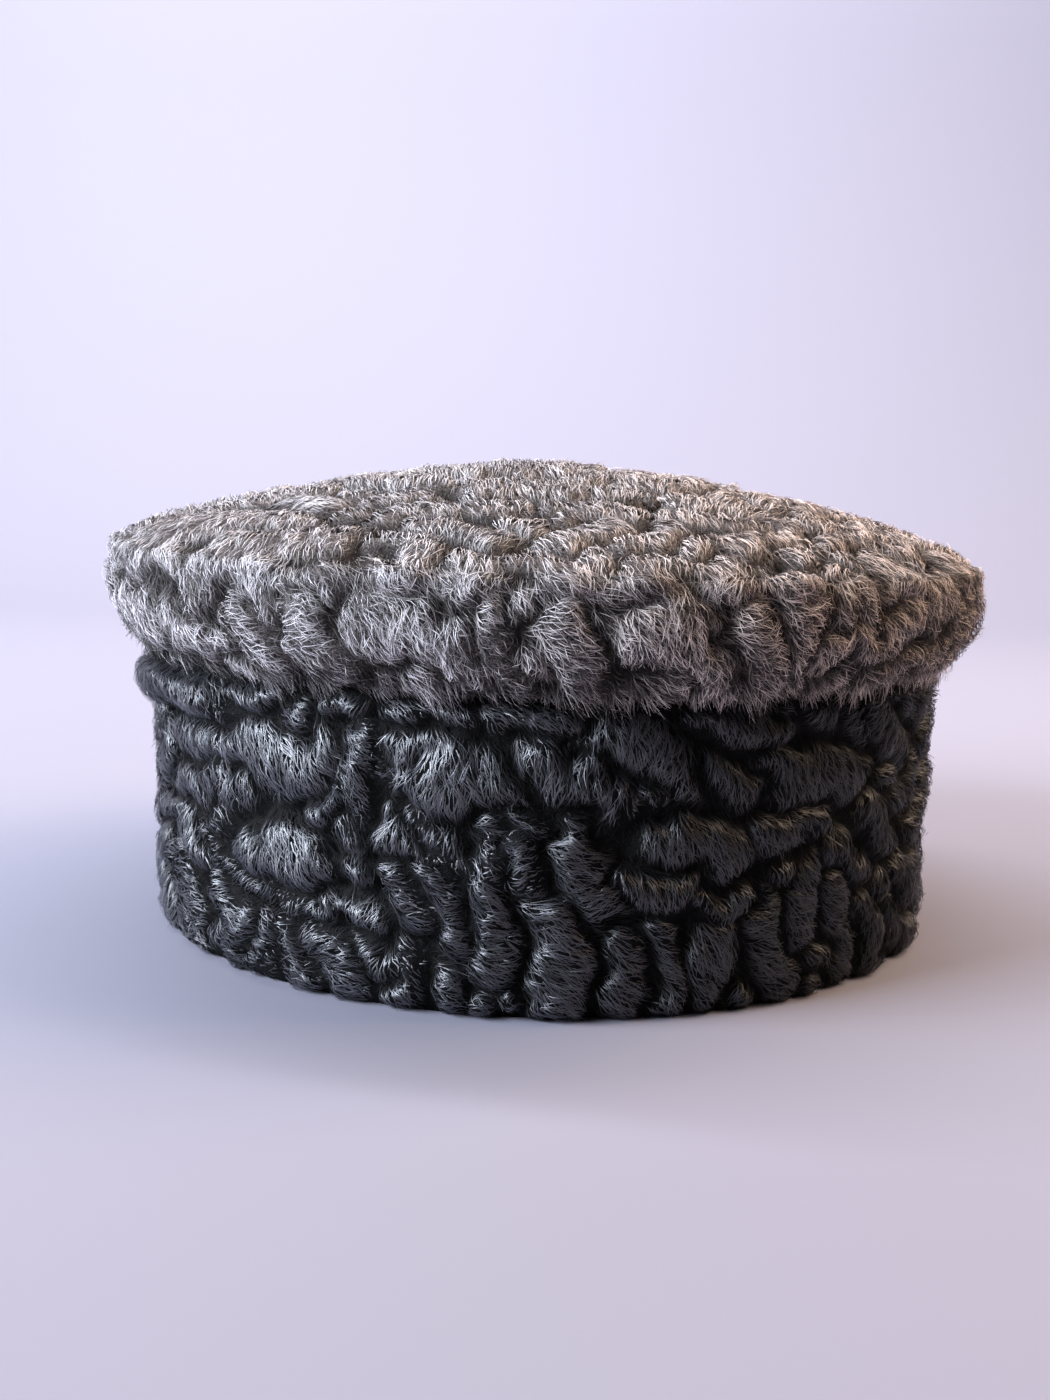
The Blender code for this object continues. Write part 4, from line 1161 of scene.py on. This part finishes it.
# The camera, and the lights: each one's name, place, target, size, watts and colour. Lengths are in metres.
CAMERA_PLACE, CAMERA_PITCH, CAMERA_ROLL, CAMERA_LENS, CAMERA_FILM = (-0.0047, -0.432, 0.115), 81.57, 1.5, 43.71, 36.0
LIGHTS = (
    ("window", (-0.95, -0.45, 0.53), (0.0, 0.0, 0.05), (0.7, 0.7), 35.0, (0.80, 0.87, 1.0)),
    ("far_wall", (0.70, 0.12, 0.90), (0.0, 0.0, 0.08), (0.7, 0.7), 16.0, (1.0, 0.74, 0.54)),
    ("wall_wash", (-0.3, 0.35, 1.1), (-0.1, 1.1, 0.5), (1.4, 0.4), 37.0, (0.93, 0.93, 1.0)),
)
ROOM_COLOUR, ROOM_STRENGTH = (0.95, 0.86, 0.78, 1.0), 0.05

# The table's half width, its front edge, where it starts to turn up and how round, and the wall's top, in metres.
FLOOR_SIDE, FLOOR_FRONT, FLOOR_TURN, FLOOR_ROUND, WALL_TOP = 2.6, -1.6, 0.7, 0.5, 2.4


def camera_and_lights():
    """The camera where the photograph was taken, and soft light from a window on the left."""
    camera = bpy.data.objects.new("camera", bpy.data.cameras.new("camera"))
    bpy.context.scene.collection.objects.link(camera)
    camera.data.sensor_width = CAMERA_FILM
    camera.data.lens = CAMERA_LENS
    camera.location = CAMERA_PLACE
    camera.rotation_mode = "QUATERNION"
    pitch, roll = Euler((math.radians(CAMERA_PITCH), 0.0, 0.0)), Euler((0.0, 0.0, math.radians(CAMERA_ROLL)))
    camera.rotation_quaternion = pitch.to_quaternion() @ roll.to_quaternion()
    bpy.context.scene.camera = camera
    for name, place, target, size, power, colour in LIGHTS:
        lamp = bpy.data.lights.new(name, "AREA")
        lamp.shape, lamp.size, lamp.size_y = "RECTANGLE", *size
        lamp.energy, lamp.color = power, colour
        item = bpy.data.objects.new(name, lamp)
        item.location = place
        item.rotation_mode = "QUATERNION"
        item.rotation_quaternion = (Vector(target) - Vector(place)).to_track_quat("-Z", "Y")
        bpy.context.scene.collection.objects.link(item)
    world = bpy.data.worlds.new("room")
    world.use_nodes = True
    world.node_tree.nodes["Background"].inputs["Color"].default_value = ROOM_COLOUR
    world.node_tree.nodes["Background"].inputs["Strength"].default_value = ROOM_STRENGTH
    bpy.context.scene.world = world
    bpy.context.scene.view_settings.view_transform = "Standard"


def floor_sweep():
    """A pale table that turns up into the wall behind."""
    angles = np.radians(np.linspace(0.0, 90.0, 13))
    curve = [(FLOOR_FRONT, 0.0), (FLOOR_TURN, 0.0)]
    curve += [(FLOOR_TURN + FLOOR_ROUND * math.sin(a), FLOOR_ROUND - FLOOR_ROUND * math.cos(a)) for a in angles[1:]]
    curve.append((FLOOR_TURN + FLOOR_ROUND, WALL_TOP))
    points = [(x, y, z) for x in (-FLOOR_SIDE, FLOOR_SIDE) for y, z in curve]
    count = len(curve)
    faces = [(k, count + k, count + k + 1, k + 1) for k in range(count - 1)]
    mesh = bpy.data.meshes.new("floor")
    mesh.from_pydata(points, [], faces)
    mesh.shade_smooth()
    made, tree, shader = new_material("pale_paper")
    shader.inputs["Base Color"].default_value = (0.256, 0.252, 0.31, 1.0)
    shader.inputs["Roughness"].default_value = 0.8
    mesh.materials.append(made)
    floor = bpy.data.objects.new("floor", mesh)
    bpy.context.scene.collection.objects.link(floor)


# Strand coats: the pelt that each grows on and the one beside it, its hair, its steps from root to tip, its seed,
# its strands a square metre, and its sizes in metres, turns in radians and shares.
COAT_SIZES = ("Density", "Length", "Overhang", "Width", "Lift", "Lock size", "Clump", "Frizz", "Sway", "Twist",
              "Roundness", "Evenness")
COAT_COLUMNS = ("piece", "pelt", "beside", "hair", "steps", "Seed", *COAT_SIZES)
COATS = (
    ("band_undercoat", "band_pelt", None, "black_hair", 2,
     1, 760000.0, 0.0045, 0.0003, 0.00026, 0.0003, 0.0024, 0.35, 0.0006, 0.70, 0.60, 0.45, 0.7),
    ("band_curls", "band_pelt", None, "black_hair", 3,
     2, 650000.0, 0.0055, 0.0005, 0.00017, 0.0006, 0.0024, 0.50, 0.0012, 1.00, 0.70, 0.60, 0.4),
    ("side_undercoat", "side_pelt", "top_pelt", "side_wool", 2,
     6, 1050000.0, 0.0040, 0.0005, 0.00022, 0.0004, 0.0024, 0.30, 0.0010, 1.00, 1.0, 0.70, 0.6),
    ("side_curls", "side_pelt", "top_pelt", "side_hair", 3,
     3, 1080000.0, 0.0050, 0.0008, 0.00014, 0.0010, 0.0026, 0.45, 0.0015, 1.30, 1.0, 0.70, 0.4),
    ("top_undercoat", "top_pelt", "side_pelt", "top_wool", 2,
     4, 720000.0, 0.0042, 0.0004, 0.00023, 0.0003, 0.0020, 0.20, 0.0006, 0.60, 1.0, 0.70, 0.6),
    ("top_curls", "top_pelt", "side_pelt", "top_hair", 3,
     5, 680000.0, 0.0050, 0.0006, 0.00014, 0.0007, 0.0020, 0.35, 0.0010, 0.85, 1.0, 0.70, 0.4),
)

# The pelts: each piece, the solid that it replaces, its material slot, its chart and its surface.
PELTS = (
    ("band_pelt", "band", "black_karakul", band_chart, band_pelt),
    ("side_pelt", "crown_side", "grey_karakul", side_chart, side_pelt),
    ("top_pelt", "crown_top", "grey_karakul", top_chart, top_pelt),
)

camera_and_lights()
floor_sweep()
look = strand_look()
finishes = {finish: close_fleece(*row) for finish, *row in CLOSE_FLEECES}
finishes.update({row[0]: hair(look, row) for row in HAIRS})

# What the strands carry only while they grow.
SCRATCH_VALUES = ("spot", "raised", "edge", "pull", "lay", "pelt", "section", "reach", "sway", "twist", "girth",
                  "loft", "left", "turn", "cover", "hang", "drop", "depth", "outward")

wrap = wrapping_tree()
grow = {steps: fleece_tree(steps) for steps in (2, 3)}
guides = {}
for name, node, slot, chart_fleece, lay_out in PELTS:
    colour = slot.split("_")[0]
    chart = chart_fleece()
    wrapping = {"Half width": HALF_WIDTH, "Half depth": HALF_DEPTH, "Fleece": finishes[colour + "_close"],
                "Skin side": finishes[colour + "_skin"]}
    pelt = made_by(name, flat_mesh(name, *lay_out(chart, PELT_PITCH, PELT_SINK)), wrap, wrapping)
    guides[name] = made_by(name + "_guide", flat_mesh(name, *lay_out(chart, GUIDE_PITCH, 0.0)), wrap, wrapping)
    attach(pelt, "root")
    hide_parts(node)

for row in COATS:
    sizes = dict(zip(COAT_COLUMNS, row))
    sizes["Hair"] = finishes[sizes["hair"]]
    if sizes["beside"] is not None:
        sizes["Pelt beside"] = guides[sizes["beside"]]
    coat = made_by(sizes["piece"], guides[sizes["pelt"]].data, grow[sizes["steps"]], sizes)
    for value in [item.name for item in coat.data.attributes]:
        if value.split("_")[0] in SCRATCH_VALUES:
            coat.data.attributes.remove(coat.data.attributes[value])
    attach(coat, "root")

for guide in guides.values():
    bpy.data.objects.remove(guide)
